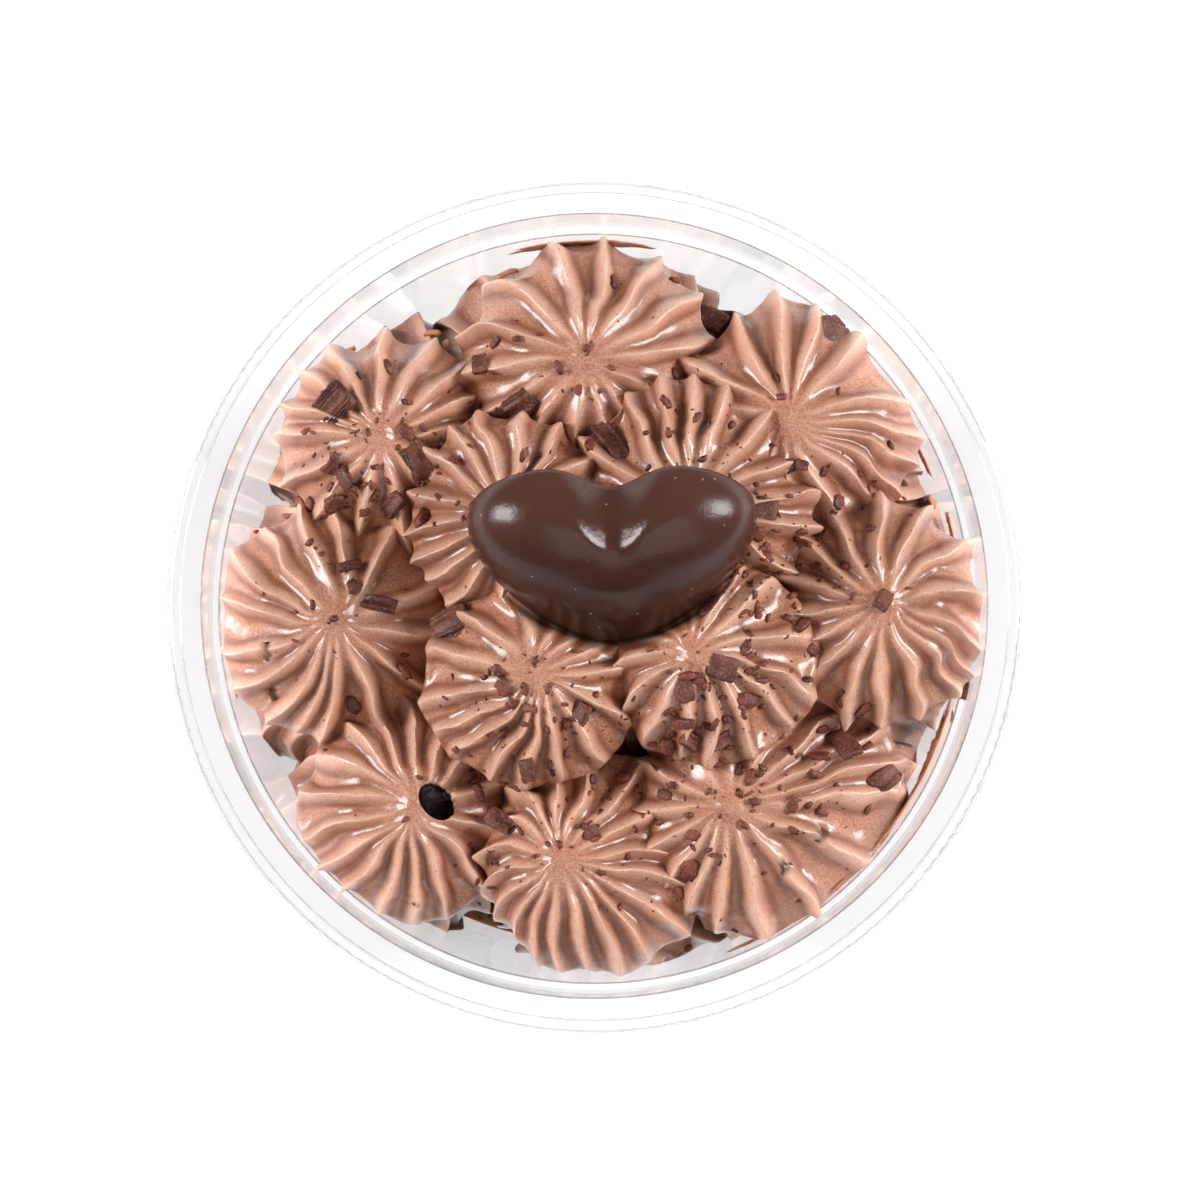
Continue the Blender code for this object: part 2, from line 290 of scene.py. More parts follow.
# %% The cup's sizes
CUP_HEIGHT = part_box("cup")[1][2] / MM
CUP_WALL = 0.24
CORNER_WALL = 0.19              # the sheet is stretched thinnest at the steps
CORNER_ROUNDING = 0.08          # radius of the corners at the steps
MOUTH_ROUNDING = 0.16
RIM_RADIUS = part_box("cup")[1][0] / MM
RIM_STEP_RADIUS = 56.65         # the flat of the rim ends in a step down to the rolled edge
RIM_STEP = 0.9
RIM_ROLL = 1.3                  # radius of the roll at the rim's edge
RIM_DROP = 3.6                  # from the flat of the rim down to its lower edge
MOUTH_RADIUS = 53.4
LEDGE_HEIGHT = 54.0
LEDGE_RADIUS = 51.5
SEAT_RADIUS = LEDGE_RADIUS + 0.9    # outside of the ledge
TAPER = 0.232                   # gain of the wall's radius for each mm of height
HEEL_HEIGHT = 3.0
HEEL_RADIUS = 0.7 * HEEL_HEIGHT     # of the rounding between the base and the wall
FOOT_OUTSIDE = LEDGE_RADIUS + TAPER * (HEEL_HEIGHT - LEDGE_HEIGHT) + CUP_WALL - HEEL_RADIUS
FOOT_INSIDE = FOOT_OUTSIDE - 3.0    # the ring that the cup stands on
PUSH_UP = 2.2                   # how far the base is raised inside that ring
CUP_COLUMNS = 720
FOLD_WAVES = 190                # small folds along the edge of the rolled rim
FOLD_HEIGHT = 0.16
FOLD_FROM = 1.2                 # they grow from here below the flat of the rim down to its edge,
FOLD_IN = 0.3                   # which is drawn in by this

print(f"cup: {CUP_HEIGHT:.1f} mm high, {2 * RIM_RADIUS:.1f} mm wide, {2 * FOOT_OUTSIDE:.1f} mm at the foot")

# %% [markdown]
# ### Its profile
# Every corner of a moulded sheet is a small arc, and an arc is a line of points about a centre. The wall is
# straight between the arcs. Smooth shading would bend the light along those straight stretches too, so
# points are added close to both ends of each.

# %% The cup's profile
def wall_radius(z):
    """Inside of the wall at a height: a straight taper up to the ledge, and the flared mouth above it."""
    climb = (z - LEDGE_HEIGHT - CUP_WALL) / (CUP_HEIGHT - LEDGE_HEIGHT - CUP_WALL)
    mouth = SEAT_RADIUS + climb * (MOUTH_RADIUS - SEAT_RADIUS)
    return np.where(z < LEDGE_HEIGHT + CUP_WALL / 2, LEDGE_RADIUS + TAPER * (z - LEDGE_HEIGHT), mouth)


def arc(centre_r, centre_z, radius, start, end, steps):
    """Points (r, z) along an arc, with its angles in degrees."""
    angles = np.radians(np.linspace(start, end, steps + 1))
    return [(centre_r + radius * math.cos(a), centre_z + radius * math.sin(a)) for a in angles]


def inner_base():
    """The inside of the base, from the raised middle outwards and up round the heel."""
    floor = [(FOOT_INSIDE - PUSH_UP + 0.3, PUSH_UP + CUP_WALL), (FOOT_INSIDE + 0.3, CUP_WALL)]
    return floor + arc(FOOT_OUTSIDE - 0.2, HEEL_RADIUS, HEEL_RADIUS - 0.5, -80, 0, 5)


def cup_profile():
    """Once round the cut wall, from under the middle outwards, up, over the rim and back inside."""
    soft = CORNER_ROUNDING
    on_ledge = LEDGE_HEIGHT + CUP_WALL
    under_ledge = on_ledge - CORNER_WALL
    under_rim = CUP_HEIGHT - CUP_WALL
    edge = CUP_HEIGHT - RIM_STEP
    step_out, under_edge = RIM_STEP_RADIUS - CORNER_WALL, edge - CUP_WALL
    roll_r, roll_z = RIM_RADIUS - RIM_ROLL, edge - RIM_ROLL
    lip_r, lip_z = RIM_RADIUS - CUP_WALL, CUP_HEIGHT - RIM_DROP
    outside = (
        [(FOOT_INSIDE - PUSH_UP, PUSH_UP), (FOOT_INSIDE - 0.2, 0.1), (FOOT_INSIDE, 0), (FOOT_OUTSIDE, 0)]
        + arc(FOOT_OUTSIDE, HEEL_RADIUS, HEEL_RADIUS, -75, 0, 6)
        + arc(LEDGE_RADIUS + CORNER_WALL + soft, under_ledge - soft, soft, 180, 95, 2)
        + arc(SEAT_RADIUS + CORNER_WALL - soft, under_ledge + soft, soft, -85, 0, 2)
        + arc(MOUTH_RADIUS + CORNER_WALL + 0.12, under_rim - 0.12, 0.12, 180, 90, 3)
        + arc(step_out - soft, under_rim - soft, soft, 90, 0, 2)
        + arc(step_out + soft, under_edge + soft, soft, 180, 265, 2)
        + arc(roll_r, roll_z, RIM_ROLL - CUP_WALL, 90, 0, 5)
    )
    lip = [(lip_r, lip_z + 0.2), (RIM_RADIUS - CUP_WALL / 2, lip_z), (RIM_RADIUS, lip_z + 0.2)]
    inside = (
        arc(roll_r, roll_z, RIM_ROLL, 0, 90, 7)
        + arc(RIM_STEP_RADIUS + soft, edge + soft, soft, -90, -180, 2)
        + arc(RIM_STEP_RADIUS - soft, CUP_HEIGHT - soft, soft, 0, 90, 2)
        + arc(MOUTH_RADIUS + MOUTH_ROUNDING, CUP_HEIGHT - MOUTH_ROUNDING, MOUTH_ROUNDING, 90, 180, 4)
        + arc(SEAT_RADIUS - soft, on_ledge + soft, soft, 0, -90, 2)
        + arc(LEDGE_RADIUS + soft, on_ledge - soft, soft, 90, 180, 2)
        + [(wall_radius(HEEL_HEIGHT), HEEL_HEIGHT)]
        + inner_base()[::-1]
    )
    return np.array(outside + lip + inside)


def firm(profile):
    """Adds points just inside both ends of every long stretch and in its middle, to keep it straight."""
    steps = np.diff(profile, axis=0)
    lengths = np.linalg.norm(steps, axis=1)
    shares = [[0.0, 0.12 / size, 0.5, 1 - 0.12 / size] if size > 0.6 else [0.0] for size in lengths]
    firmed = [profile[row] + steps[row] * share for row, group in enumerate(shares) for share in group]
    return np.array(firmed + [profile[-1]])


def turn(profile, columns):
    """Rings (1, rows, columns, 3): each point (r, z) of the profile carried once round the axis."""
    angles = np.arange(columns) * 2 * math.pi / columns
    r, z = profile[:, :1], profile[:, 1:]
    return np.stack([r * np.cos(angles), r * np.sin(angles), z + 0 * angles], axis=-1)[None]


print(f"cup: {len(cup_profile())} points in the profile, a ledge from {LEDGE_RADIUS} to {SEAT_RADIUS} mm out")

# %% [markdown]
# ### Clear plastic
# Thermoformed cups are PET or polystyrene: nearly colourless, very smooth, with a faint ripple from the
# mould. It is a glass-like shader with the plastic's IOR of about 1.57. A lamp's light has to reach the cake
# through the wall, so for shadow rays the shader turns into plain transparency. The wall is thin enough to
# let a share of every other ray straight through too, which keeps its steep sides from looking silvered.

# %% Clear thermoformed plastic
CLEAR_SHARE = 0.15


def clear_plastic():
    """Smooth clear plastic with a mould's ripple, wholly transparent to the lamps' light."""
    glassy = {"Base Color": "#f1f3f5", "Roughness": 0.03, "Transmission Weight": 1.0, "IOR": 1.57}
    material, tree, shader, coords = start_material("clear_thermoformed_pet", glassy)
    ripple = add_node(tree, "TexNoise", {"Vector": coords, "Scale": every(7.14), "Detail": 2.0})
    bump = add_node(tree, "Bump", {"Height": ripple, "Strength": 0.12, "Distance": 0.4 * MM})
    connect(shader, {"Normal": bump})
    rays = add_node(tree, "LightPath").outputs["Is Shadow Ray"]
    share = add_node(tree, "Math", {0: rays, 1: CLEAR_SHARE}, operation="MAXIMUM")
    clear = add_node(tree, "BsdfTransparent", {"Color": (0.94, 0.94, 0.945, 1)})
    mixed = add_node(tree, "MixShader", {0: share, 1: shader, 2: clear})
    connect(tree.nodes["Material Output"], {"Surface": mixed})
    return material


def make_cup():
    """The turned wall; under the rim the rolled edge is folded into small uneven waves."""
    rings = turn(firm(cup_profile()), CUP_COLUMNS)
    angles = np.arange(CUP_COLUMNS) * 2 * math.pi / CUP_COLUMNS
    radius = np.hypot(rings[..., 0], rings[..., 1])
    drop = (CUP_HEIGHT - FOLD_FROM - rings[..., 2]) / (RIM_DROP - FOLD_FROM)
    edge = (radius > RIM_RADIUS - RIM_ROLL) * ease(drop)
    strength = 0.55 + 0.45 * np.sin(5 * angles + 1.0) * np.sin(3 * angles)
    fold = FOLD_HEIGHT * np.sin(FOLD_WAVES * angles + 2.0 * np.sin(7 * angles)) * strength
    rings[..., :2] *= (1 + (edge * (fold - FOLD_IN) / radius))[..., None]
    make_piece("clear_cup", rings, "cup", clear_plastic())


make_cup()

# %% [markdown]
# ## The cake
# Under the cream lies sponge soaked in three kinds of milk. It was spooned or pressed into the cup while
# moist, so it wets the wall: the piece reaches a hair into the plastic, because an air gap would show as a
# silvery film. It is turned like the cup, with a side that is pressed flat and dented, and a level top.

# %% Soaked sponge
CAKE_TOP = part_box("cake")[1][2] / MM
CAKE_COLUMNS = 360
CAKE_ROWS = 90
CAKE_PORE = 4.0                 # size of the dents in its side
CAKE_PORE_DEPTH = 0.006         # as a share of the radius
INTO_WALL = 0.12                # how far what fills the cup reaches into its wall


def soaked_sponge():
    """Chocolate sponge: brown crumb with two sizes of uneven pores, painted dark for the shade in them, and
    darker where the milk stands.
    """
    material, tree, shader, coords = start_material("milk_soaked_sponge", {"Roughness": 0.55, "IOR": 1.40})
    bend = add_node(tree, "TexNoise", {"Vector": coords, "Scale": every(2.0), "Detail": 2.0}).outputs["Color"]
    bent = add_node(tree, "VectorMath", {0: bend, 1: (2.5 * MM,) * 3, 2: coords}, operation="MULTIPLY_ADD")
    closed = []
    for size, edge in ((2.63, 0.40), (0.909, 0.34)):
        pores = add_node(tree, "TexVoronoi", {"Vector": bent, "Scale": every(size)})
        closed.append(add_node(tree, "MapRange", {"Value": pores, "From Min": edge / 3, "From Max": edge}))
    open_pore = add_node(tree, "Math", {0: closed[0], 1: closed[1]}, operation="MINIMUM")
    patches = add_node(tree, "TexNoise", {"Vector": coords, "Scale": every(6.25), "Detail": 6.0})
    wet = add_node(tree, "Mix", {0: patches, 6: "#7a4a30", 7: "#a8714d"}, data_type="RGBA")
    # Painted shade: the pores are painted dark for the shade inside them.
    crumb = add_node(tree, "Mix", {0: open_pore, 6: "#54301f", 7: wet}, data_type="RGBA")
    bump = add_node(tree, "Bump", {"Height": open_pore, "Strength": 0.5, "Distance": 0.5 * MM})
    connect(shader, {"Base Color": crumb, "Normal": bump})
    return material


def make_cake():
    """Follows the inside of the wall from the base to the cream, then runs level to the middle."""
    low = np.array(inner_base()) + (INTO_WALL, -INTO_WALL / 2)
    heights = np.linspace(HEEL_HEIGHT, CAKE_TOP - 0.5, CAKE_ROWS)
    side = np.stack([wall_radius(heights) + INTO_WALL, heights], axis=-1)
    edge = wall_radius(CAKE_TOP) + INTO_WALL
    top = np.array([(edge - step, CAKE_TOP) for step in (0.4, 2.0, 5.0, 12.0, 25.0)])
    rings = turn(np.concatenate([low, side, top]), CAKE_COLUMNS)
    dents = CAKE_PORE_DEPTH * np.maximum(lumps(rings, CAKE_PORE, 11) - 0.9, 0)
    rings[..., :2] *= (1 - dents)[..., None]
    make_piece("soaked_cake", rings, "cake", soaked_sponge())


make_cake()

# %% [markdown]
# ## The heart
# The heart was cast in a domed mould and pushed into the cream, leaning back. Its outline is a rounded
# curve with a dip at the top and a soft point below. Across it the dome rises as a rounded power curve, with
# a fold that runs down from the dip. The formula is the frame's own with many more rings. The shape comes
# before the cream's, because the cream gives way under it.

# %% The heart
HEART_WIDTH = 39.0
HEART_TOP = 10.5                # from the widest place up to the top, without the dip
HEART_POINT = 20.0              # and down to the point
HEART_SQUARENESS = 2.4          # 2 is an ellipse, above it the shoulders are fuller
HEART_PINCH = 0.4               # how far the sides are drawn in at the point
HEART_NOTCH = 4.6
HEART_NOTCH_SPREAD = 5.5
HEART_DOME = 11.2
HEART_FULLNESS = 2.1            # 2 is an ellipsoid's dome, above it the top is flatter
HEART_CLEFT = 1.0
HEART_BACK_EDGE = 0.9
HEART_CENTRE = (2.4, 11.2, 67.5)
HEART_LEAN = math.radians(42)
HEART_TURN = math.radians(1.5)
HEART_COLUMNS = 240
HEART_ROWS = 72


def heart_outline(angles, notched, pinched):
    """A superellipse with a dip above, an ellipse with its sides drawn in below, each by a share."""
    cosine, sine = np.cos(angles), np.sin(angles)
    upper = sine >= 0
    power = np.where(upper, 2 / HEART_SQUARENESS, 1)
    across = HEART_WIDTH / 2 * np.sign(cosine) * np.abs(cosine) ** power
    across = across * (1 - HEART_PINCH * np.maximum(-sine, 0) ** 1.5 * pinched)
    up = np.where(upper, HEART_TOP, HEART_POINT) * np.sign(sine) * np.abs(sine) ** power
    dip = HEART_NOTCH * np.exp(-((across / HEART_NOTCH_SPREAD) ** 2)) * sine
    return across, up - np.where(upper, dip, 0) * notched


def stand_heart(across, up, out):
    """Places the heart's own directions in the cup: leaning back, its domed face to the front."""
    back = up * math.sin(HEART_LEAN) - out * math.cos(HEART_LEAN)
    rise = up * math.cos(HEART_LEAN) + out * math.sin(HEART_LEAN)
    x = HEART_CENTRE[0] + across * math.cos(HEART_TURN) - back * math.sin(HEART_TURN)
    y = HEART_CENTRE[1] + across * math.sin(HEART_TURN) + back * math.cos(HEART_TURN)
    return np.stack([x, y, HEART_CENTRE[2] + rise], axis=-1)


def heart_rings():
    """Rings (rows, columns, 3) from the flat back round a plain edge and up the dome to its middle."""
    angles = np.arange(HEART_COLUMNS) * 2 * math.pi / HEART_COLUMNS
    across, up = heart_outline(angles, 1.0, 1.0)
    inwards = np.array([0.3, 0.7, 0.97, 1.0])[:, None]
    back = stand_heart(across * inwards, up * inwards, 0.25 * (inwards > 0.98) + 0 * across)
    share = np.cos(math.pi / 2 * (np.arange(HEART_ROWS) / HEART_ROWS) ** 0.8)[:, None]
    across, up = heart_outline(angles, ease((share + 0.2) / 0.9), share ** 3)
    swell = (1 - share ** HEART_FULLNESS) ** (1 / HEART_FULLNESS)
    dome = HEART_BACK_EDGE + (HEART_DOME - HEART_BACK_EDGE) * swell
    near_notch = ease((up * share + 4) / 8)
    cleft = HEART_CLEFT * np.exp(-((across * share / 4.0) ** 2)) * near_notch * swell
    front = stand_heart(across * share, up * share, dome - cleft)
    return np.concatenate([back, front])


print("heart:", heart_rings().shape[:2], "rings and columns")

# %% [markdown]
# ## A piped rosette
# A star tip is held still over one place and squeezed: the cream swells out under the tip, folds into a
# second bulge as the bag is lifted, and is drawn together into a peak. The teeth of the tip leave thin
# sharp ridges with wide hollows between them, like an umbrella. Each ridge runs from the skirt to the peak,
# and where the tip was dragged sideways the ridges bend.
#
# The formula walks up a side view and round the ridges. Between two ridges the hollow is a parabola, its
# depth a share of the distance between them, so that the ridges stay sharp and the hollows shrink to
# nothing at the peak.

# %% The table of rosettes
# Middle of the skirt, lean of the peak, radius and heights of skirt and peak follow the frame's rosettes,
# and some are moved or changed by a few mm.  tier: shift of the lower bulge.  points: how far the ridges
# stand out at the skirt.  bend: under 1 the ridges turn near the peak, over 1 outside.  ridges: the
# directions in which each ridge ends at the skirt and starts at the peak, both seen from the peak.
# stretch: lengthening and its direction.
FIELDS = "name x y lean radius skirt peak tier points bend ridges stretch"
Rosette = namedtuple("Rosette", FIELDS, defaults=[(1.0, 0)])
ROSETTES = (
    Rosette("north", -1.1, 34.4, (-0.6, -1.2), 17.8, 51.0, 61.0, (-1.0, 3.2), 0.8, 2.5,
            ((12, 12), (31, 30), (55, 53), (81, 75), (104, 93), (139, 121), (165, 149), (186, 178),
             (205, 208), (233, 237), (264, 265), (290, 289), (315, 313), (338, 338))),
    Rosette("north_east", 27.0, 24.2, (-0.9, 0.9), 18.3, 51.5, 62.0, (1.7, -0.5), 0.6, 1.6,
            ((10, 19), (50, 46), (75, 67), (93, 89), (115, 119), (150, 143), (175, 170), (200, 197),
             (225, 222), (250, 247), (275, 273), (298, 300), (318, 324), (330, 337), (343, 348), (354, 1))),
    Rosette("east", 38.9, -0.4, (0.1, 0.2), 15.9, 55.5, 64.0, (0.4, -0.2), 0.9, 2,
            ((3, 16), (35, 42), (63, 71), (90, 95), (115, 120), (141, 143), (161, 165), (181, 188),
             (203, 206), (225, 225), (253, 251), (271, 270), (290, 296), (311, 322), (322, 335), (336, 349))),
    Rosette("south_east", 25.0, -27.3, (-6.6, -0.4), 17.4, 50.8, 61.0, (2.8, -1.3), 0.3, 0.9,
            ((4, 8), (15, 19), (27, 31), (42, 47), (63, 70), (90, 95), (120, 120), (150, 148),
             (180, 178), (210, 205), (234, 225), (252, 240), (270, 262), (289, 285), (309, 315),
             (336, 341)), stretch=(1.1, 25)),
    Rosette("south", 1.3, -35.1, (-6.3, 0.2), 15.4, 52.3, 61.5, (2.5, 0.5), 0.2, 0.8,
            ((5, 8), (28, 25), (50, 40), (75, 58), (100, 75), (125, 92), (150, 115), (178, 145),
             (205, 172), (226, 195), (243, 215), (258, 235), (272, 258), (285, 293), (299, 325),
             (313, 340), (331, 349), (350, 357))),
    Rosette("south_west", -25.6, -28.5, (0.6, 1.1), 15.4, 50.5, 60.0, (-1.4, -0.7), 0.15, 1,
            ((15, 12), (45, 35), (70, 52), (95, 72), (113, 98), (132, 117), (150, 135), (174, 164),
             (196, 193), (213, 225), (230, 243), (253, 264), (270, 280), (287, 297), (313, 321), (340, 345))),
    Rosette("west", -35.3, -2.2, (0.2, 0.3), 16.9, 51.0, 61.0, (-0.3, -0.3), 0.4, 0.7,
            ((20, 5), (62, 38), (95, 64), (110, 94), (128, 139), (148, 176), (167, 200), (193, 228),
             (213, 243), (237, 256), (250, 268), (263, 279), (293, 293), (322, 316), (352, 340))),
    Rosette("north_west", -29.1, 23.2, (0.0, 0.0), 15.2, 51.0, 61.0, (-0.8, 2.4), 0.85, 1,
            ((5, 5), (24, 24), (41, 45), (63, 68), (89, 92), (119, 120), (140, 142), (160, 158),
             (180, 176), (204, 206), (230, 235), (256, 258), (283, 283), (310, 312), (337, 337))),
    Rosette("inner_north_east", 13.0, 13.8, (0.0, 0.0), 17.3, 59.0, 66.0, (0.0, 0.0), 0.7, 1,
            ((5, 357), (23, 22), (46, 46), (72, 75), (88, 90), (103, 107), (118, 143), (150, 165),
             (175, 185), (200, 205), (225, 225), (250, 248), (275, 270), (300, 293), (325, 315), (350, 334))),
    Rosette("inner_north_west", -11.3, 11.7, (0.0, 0.0), 14.8, 59.0, 66.0, (0.0, 0.0), 0.7, 1,
            ((12, 15), (36, 40), (61, 66), (85, 88), (107, 110), (125, 127), (140, 143), (167, 163),
             (187, 187), (204, 209), (217, 227), (234, 247), (262, 270), (288, 292), (312, 315), (337, 340))),
    Rosette("inner_south_west", -8.7, -10.3, (0.2, 0.7), 14.8, 60.0, 68.0, (-0.3, -0.7), 0.1, 0.8,
            ((5, 350), (30, 10), (52, 32), (75, 55), (103, 82), (140, 128), (166, 172), (193, 206),
             (212, 238), (226, 255), (248, 275), (265, 288), (284, 301), (309, 320), (335, 336))),
    Rosette("inner_south_east", 16.5, -8.4, (-3.3, 1.4), 14.2, 60.0, 68.0, (1.8, -1.6), 0.2, 1.0,
            ((9, 22), (42, 44), (60, 68), (90, 92), (115, 115), (140, 138), (165, 155), (190, 174),
             (220, 213), (242, 240), (261, 276), (280, 301), (300, 325), (325, 346), (342, 358))),
)
print(f"{len(ROSETTES)} rosettes with {sum(len(rosette.ridges) for rosette in ROSETTES)} ridges")

# %% [markdown]
# ### Its side view
# From the side every rosette is the same: a broad lower bulge, a waist, the skirt, and a slope that bends in
# to the peak. A smooth curve through a few points draws it, and the table's radius and heights scale it.

# %% The side view
CREAM_BASE = CAKE_TOP - 0.3     # the cream sinks a little into the sponge
SKIRT_LEVEL = 0.57              # the skirt's place in the side view
TIER_LEVEL = 0.47               # up to here it is the lower bulge

# The side view: distance from the axis as a share of the radius, and level as a share of the whole height.
SIDE_VIEW = np.array([
    (1.10, 0.00), (1.16, 0.10), (1.16, 0.23), (1.07, 0.36), (0.96, 0.47), (1.00, SKIRT_LEVEL),
    (0.985, 0.66), (0.86, 0.78), (0.62, 0.885), (0.36, 0.945), (0.15, 0.975), (0.05, 1.00),
])
ROWS = 72


def smooth_through(knots, count):
    """Evenly many points on the Catmull-Rom curve through the knots."""
    place = np.linspace(0, len(knots) - 1, count)
    first = np.clip(place.astype(int), 0, len(knots) - 2)
    t = (place - first)[:, None]
    before, start, end = knots[np.maximum(first - 1, 0)], knots[first], knots[first + 1]
    after = knots[np.minimum(first + 2, len(knots) - 1)]
    bend = 2 * before - 5 * start + 4 * end - after
    turn_back = 3 * start - before - 3 * end + after
    return 0.5 * (2 * start + (end - before) * t + bend * t ** 2 + turn_back * t ** 3)


def heights(rosette, level):
    """Height of each level: evenly up to the skirt, and evenly from there to the peak."""
    below = CREAM_BASE + (rosette.skirt - CREAM_BASE) * level / SKIRT_LEVEL
    above = rosette.skirt + (rosette.peak - rosette.skirt) * (level - SKIRT_LEVEL) / (1 - SKIRT_LEVEL)
    return np.where(level < SKIRT_LEVEL, below, above)


print(f"side view: {ROWS} rings through {len(SIDE_VIEW)} points, from {CREAM_BASE:.1f} mm up to each peak")

# %% [markdown]
# ### Its ridges
# Each ring is divided by the ridges, and the columns of the grid are shared out between them, closer
# together near a ridge. On each ridge stands a narrow bead of cream, as a tooth's slot leaves it.

# %% Ridges, hollows and beads
COLUMNS_PER_RIDGE = 18
GROOVE_DEPTH = 0.28             # as a share of the distance between two ridges
HOLLOW_POWER = 2.2              # 2 is a parabola; above it the hollow is flatter and its sides steeper
CREST_ROUNDING = 0.05           # as a share of half the hollow
BEAD_HEIGHT = 0.5               # a rounded bead of cream stands on each ridge
BEAD_WIDTH = 0.75               # and this is half the bead's width


def ridge_paths(rosette, width, offset):
    """Each ridge's angle round the middle of each ring (rows, ridges).

    Seen from the peak, a ridge's direction goes from its inner to its outer value with the width of the
    ring raised to the bend. The angle round the ring's middle is where the ray in that direction meets
    the ring; offset is the ring's middle seen from the peak.
    """
    outer, inner = np.radians(np.array(rosette.ridges, float)).T
    change = (outer - inner + math.pi) % (2 * math.pi) - math.pi
    seen = inner + change * np.minimum(width, 1.0)[:, None] ** rosette.bend
    ray = np.stack([np.cos(seen), np.sin(seen)], axis=-1)
    along = np.einsum("rkd,rd->rk", ray, offset)
    ring = (rosette.radius * width) ** 2 - (offset ** 2).sum(axis=1)
    reach = along + np.sqrt(np.maximum(along ** 2 + ring[:, None], 0.01))
    ends = ray * reach[..., None] - offset[:, None, :]
    angles = np.arctan2(ends[..., 1], ends[..., 0])
    steps = np.diff(angles, axis=1) % (2 * math.pi)
    return np.concatenate([angles[:, :1], angles[:, :1] + np.cumsum(steps, axis=1)], axis=1)


def columns_between(paths):
    """Every column's angle and the gap that it lies in (rows, columns), and its share of the way across.

    The columns stand closer together near the ridges, where the shape turns most.
    """
    gaps = np.diff(np.concatenate([paths, paths[:, :1] + 2 * math.pi], axis=1), axis=1)
    step = np.arange(COLUMNS_PER_RIDGE) / COLUMNS_PER_RIDGE
    share = step - 0.55 * np.sin(2 * math.pi * step) / (2 * math.pi)
    angles = (paths[:, :, None] + gaps[:, :, None] * share).reshape(len(paths), -1)
    return angles, np.repeat(gaps, COLUMNS_PER_RIDGE, axis=1), share


def from_ridge(share, count):
    """How far each column is from the nearer ridge: 0 on the ridge, 1 in the middle of the hollow."""
    away = np.sqrt((1 - np.abs(2 * share - 1)) ** 2 + CREST_ROUNDING ** 2) - CREST_ROUNDING
    return np.tile(away / (math.sqrt(1 + CREST_ROUNDING ** 2) - CREST_ROUNDING), count)


def ridge_moods(random, share, count):
    """Four rows of random values, one for each ridge, blended over the columns between two ridges."""
    per_ridge = random.normal(size=(4, count))
    mixed = per_ridge[:, :, None] * (1 - share) + np.roll(per_ridge, -1, axis=1)[:, :, None] * share
    return mixed.reshape(4, -1)


def bead_and_shaded_foot(away, width, chord):
    """Two shares: a bell over the bead on each ridge, and one twice as far out, where the bead ends, for
    painted shade.

    chord is the distance between the two ridges. Both shares fade towards the peak.
    """
    bead = np.clip(2 * BEAD_WIDTH / chord, 0.1, 0.42)
    near = np.exp(-(away / bead) ** 2) * ease((width - 0.06) / 0.34)[:, None]
    foot = np.exp(-((away - 2 * bead) / (0.8 * bead)) ** 2) * ease((width - 0.12) / 0.4)[:, None]
    return near, foot


print("the columns between two ridges lie at", np.round(columns_between(np.zeros((1, 1)))[2][:9], 2))

# %% [markdown]
# ### The whole rosette
# The parts come together ring by ring: the side view gives the width and the height, the ridges give the
# depth of each point. Then the rosette is moved to its place in the cup, where its peak leans and its lower
# bulge spreads to the wall, and the cream is made a little uneven.

# %% The piped rings
TIER_TWIST = math.radians(8)    # the lower bulge was squeezed out before the bag turned a little
TIER_SPREAD = 1 / 7             # and it spread to the wall, by this share of
TIER_START = 22                 # the rosette's distance from the axis beyond this one
INNER_SPREAD = 0.16             # the four upper rosettes stand on a broader lower bulge
DRIFT = 0.42                    # unevenness in mm over about 9 mm
RIPPLE = 0.05                   # and over about 2 mm
PAINTED_WALL_LIGHT_FROM = 34                 # the skirts of rosettes this far from the axis get painted cool light from the wall


def set_in_place(rosette, rings, rise, in_tier):
    """Stretches rings round the axis, then moves them out to the rosette's place.

    The peak leans by its share rise. The lower bulge shifts and spreads towards the wall by its share.
    """
    stretch, heading = rosette.stretch[0], math.radians(rosette.stretch[1])
    ahead = np.array([math.cos(heading), math.sin(heading)])
    rings[..., :2] += (stretch - 1) * (rings[..., :2] @ ahead)[..., None] * ahead
    place = np.array([rosette.x, rosette.y])
    far_out = np.linalg.norm(place)
    outwards = TIER_SPREAD * max(far_out - TIER_START, 0) / far_out
    middle = place + in_tier * (place * outwards + rosette.tier) + rise * np.array(rosette.lean)
    rings[..., :2] += middle[:, None, :]
    return rings


def loosen(rings, level, seed):
    """Moves each point by a slow drift and a fine ripple, which are both 0 at the foot."""
    loose = ease((level - 0.02) / 0.2)[:, None, None]
    drift = np.stack([lumps(rings, 9.0, seed + shift) for shift in (1, 2, 3)], axis=-1)
    ripple = np.stack([lumps(rings, 2.2, seed + shift) for shift in (4, 5, 6)], axis=-1)
    return rings + loose * (DRIFT * drift + RIPPLE * ripple)


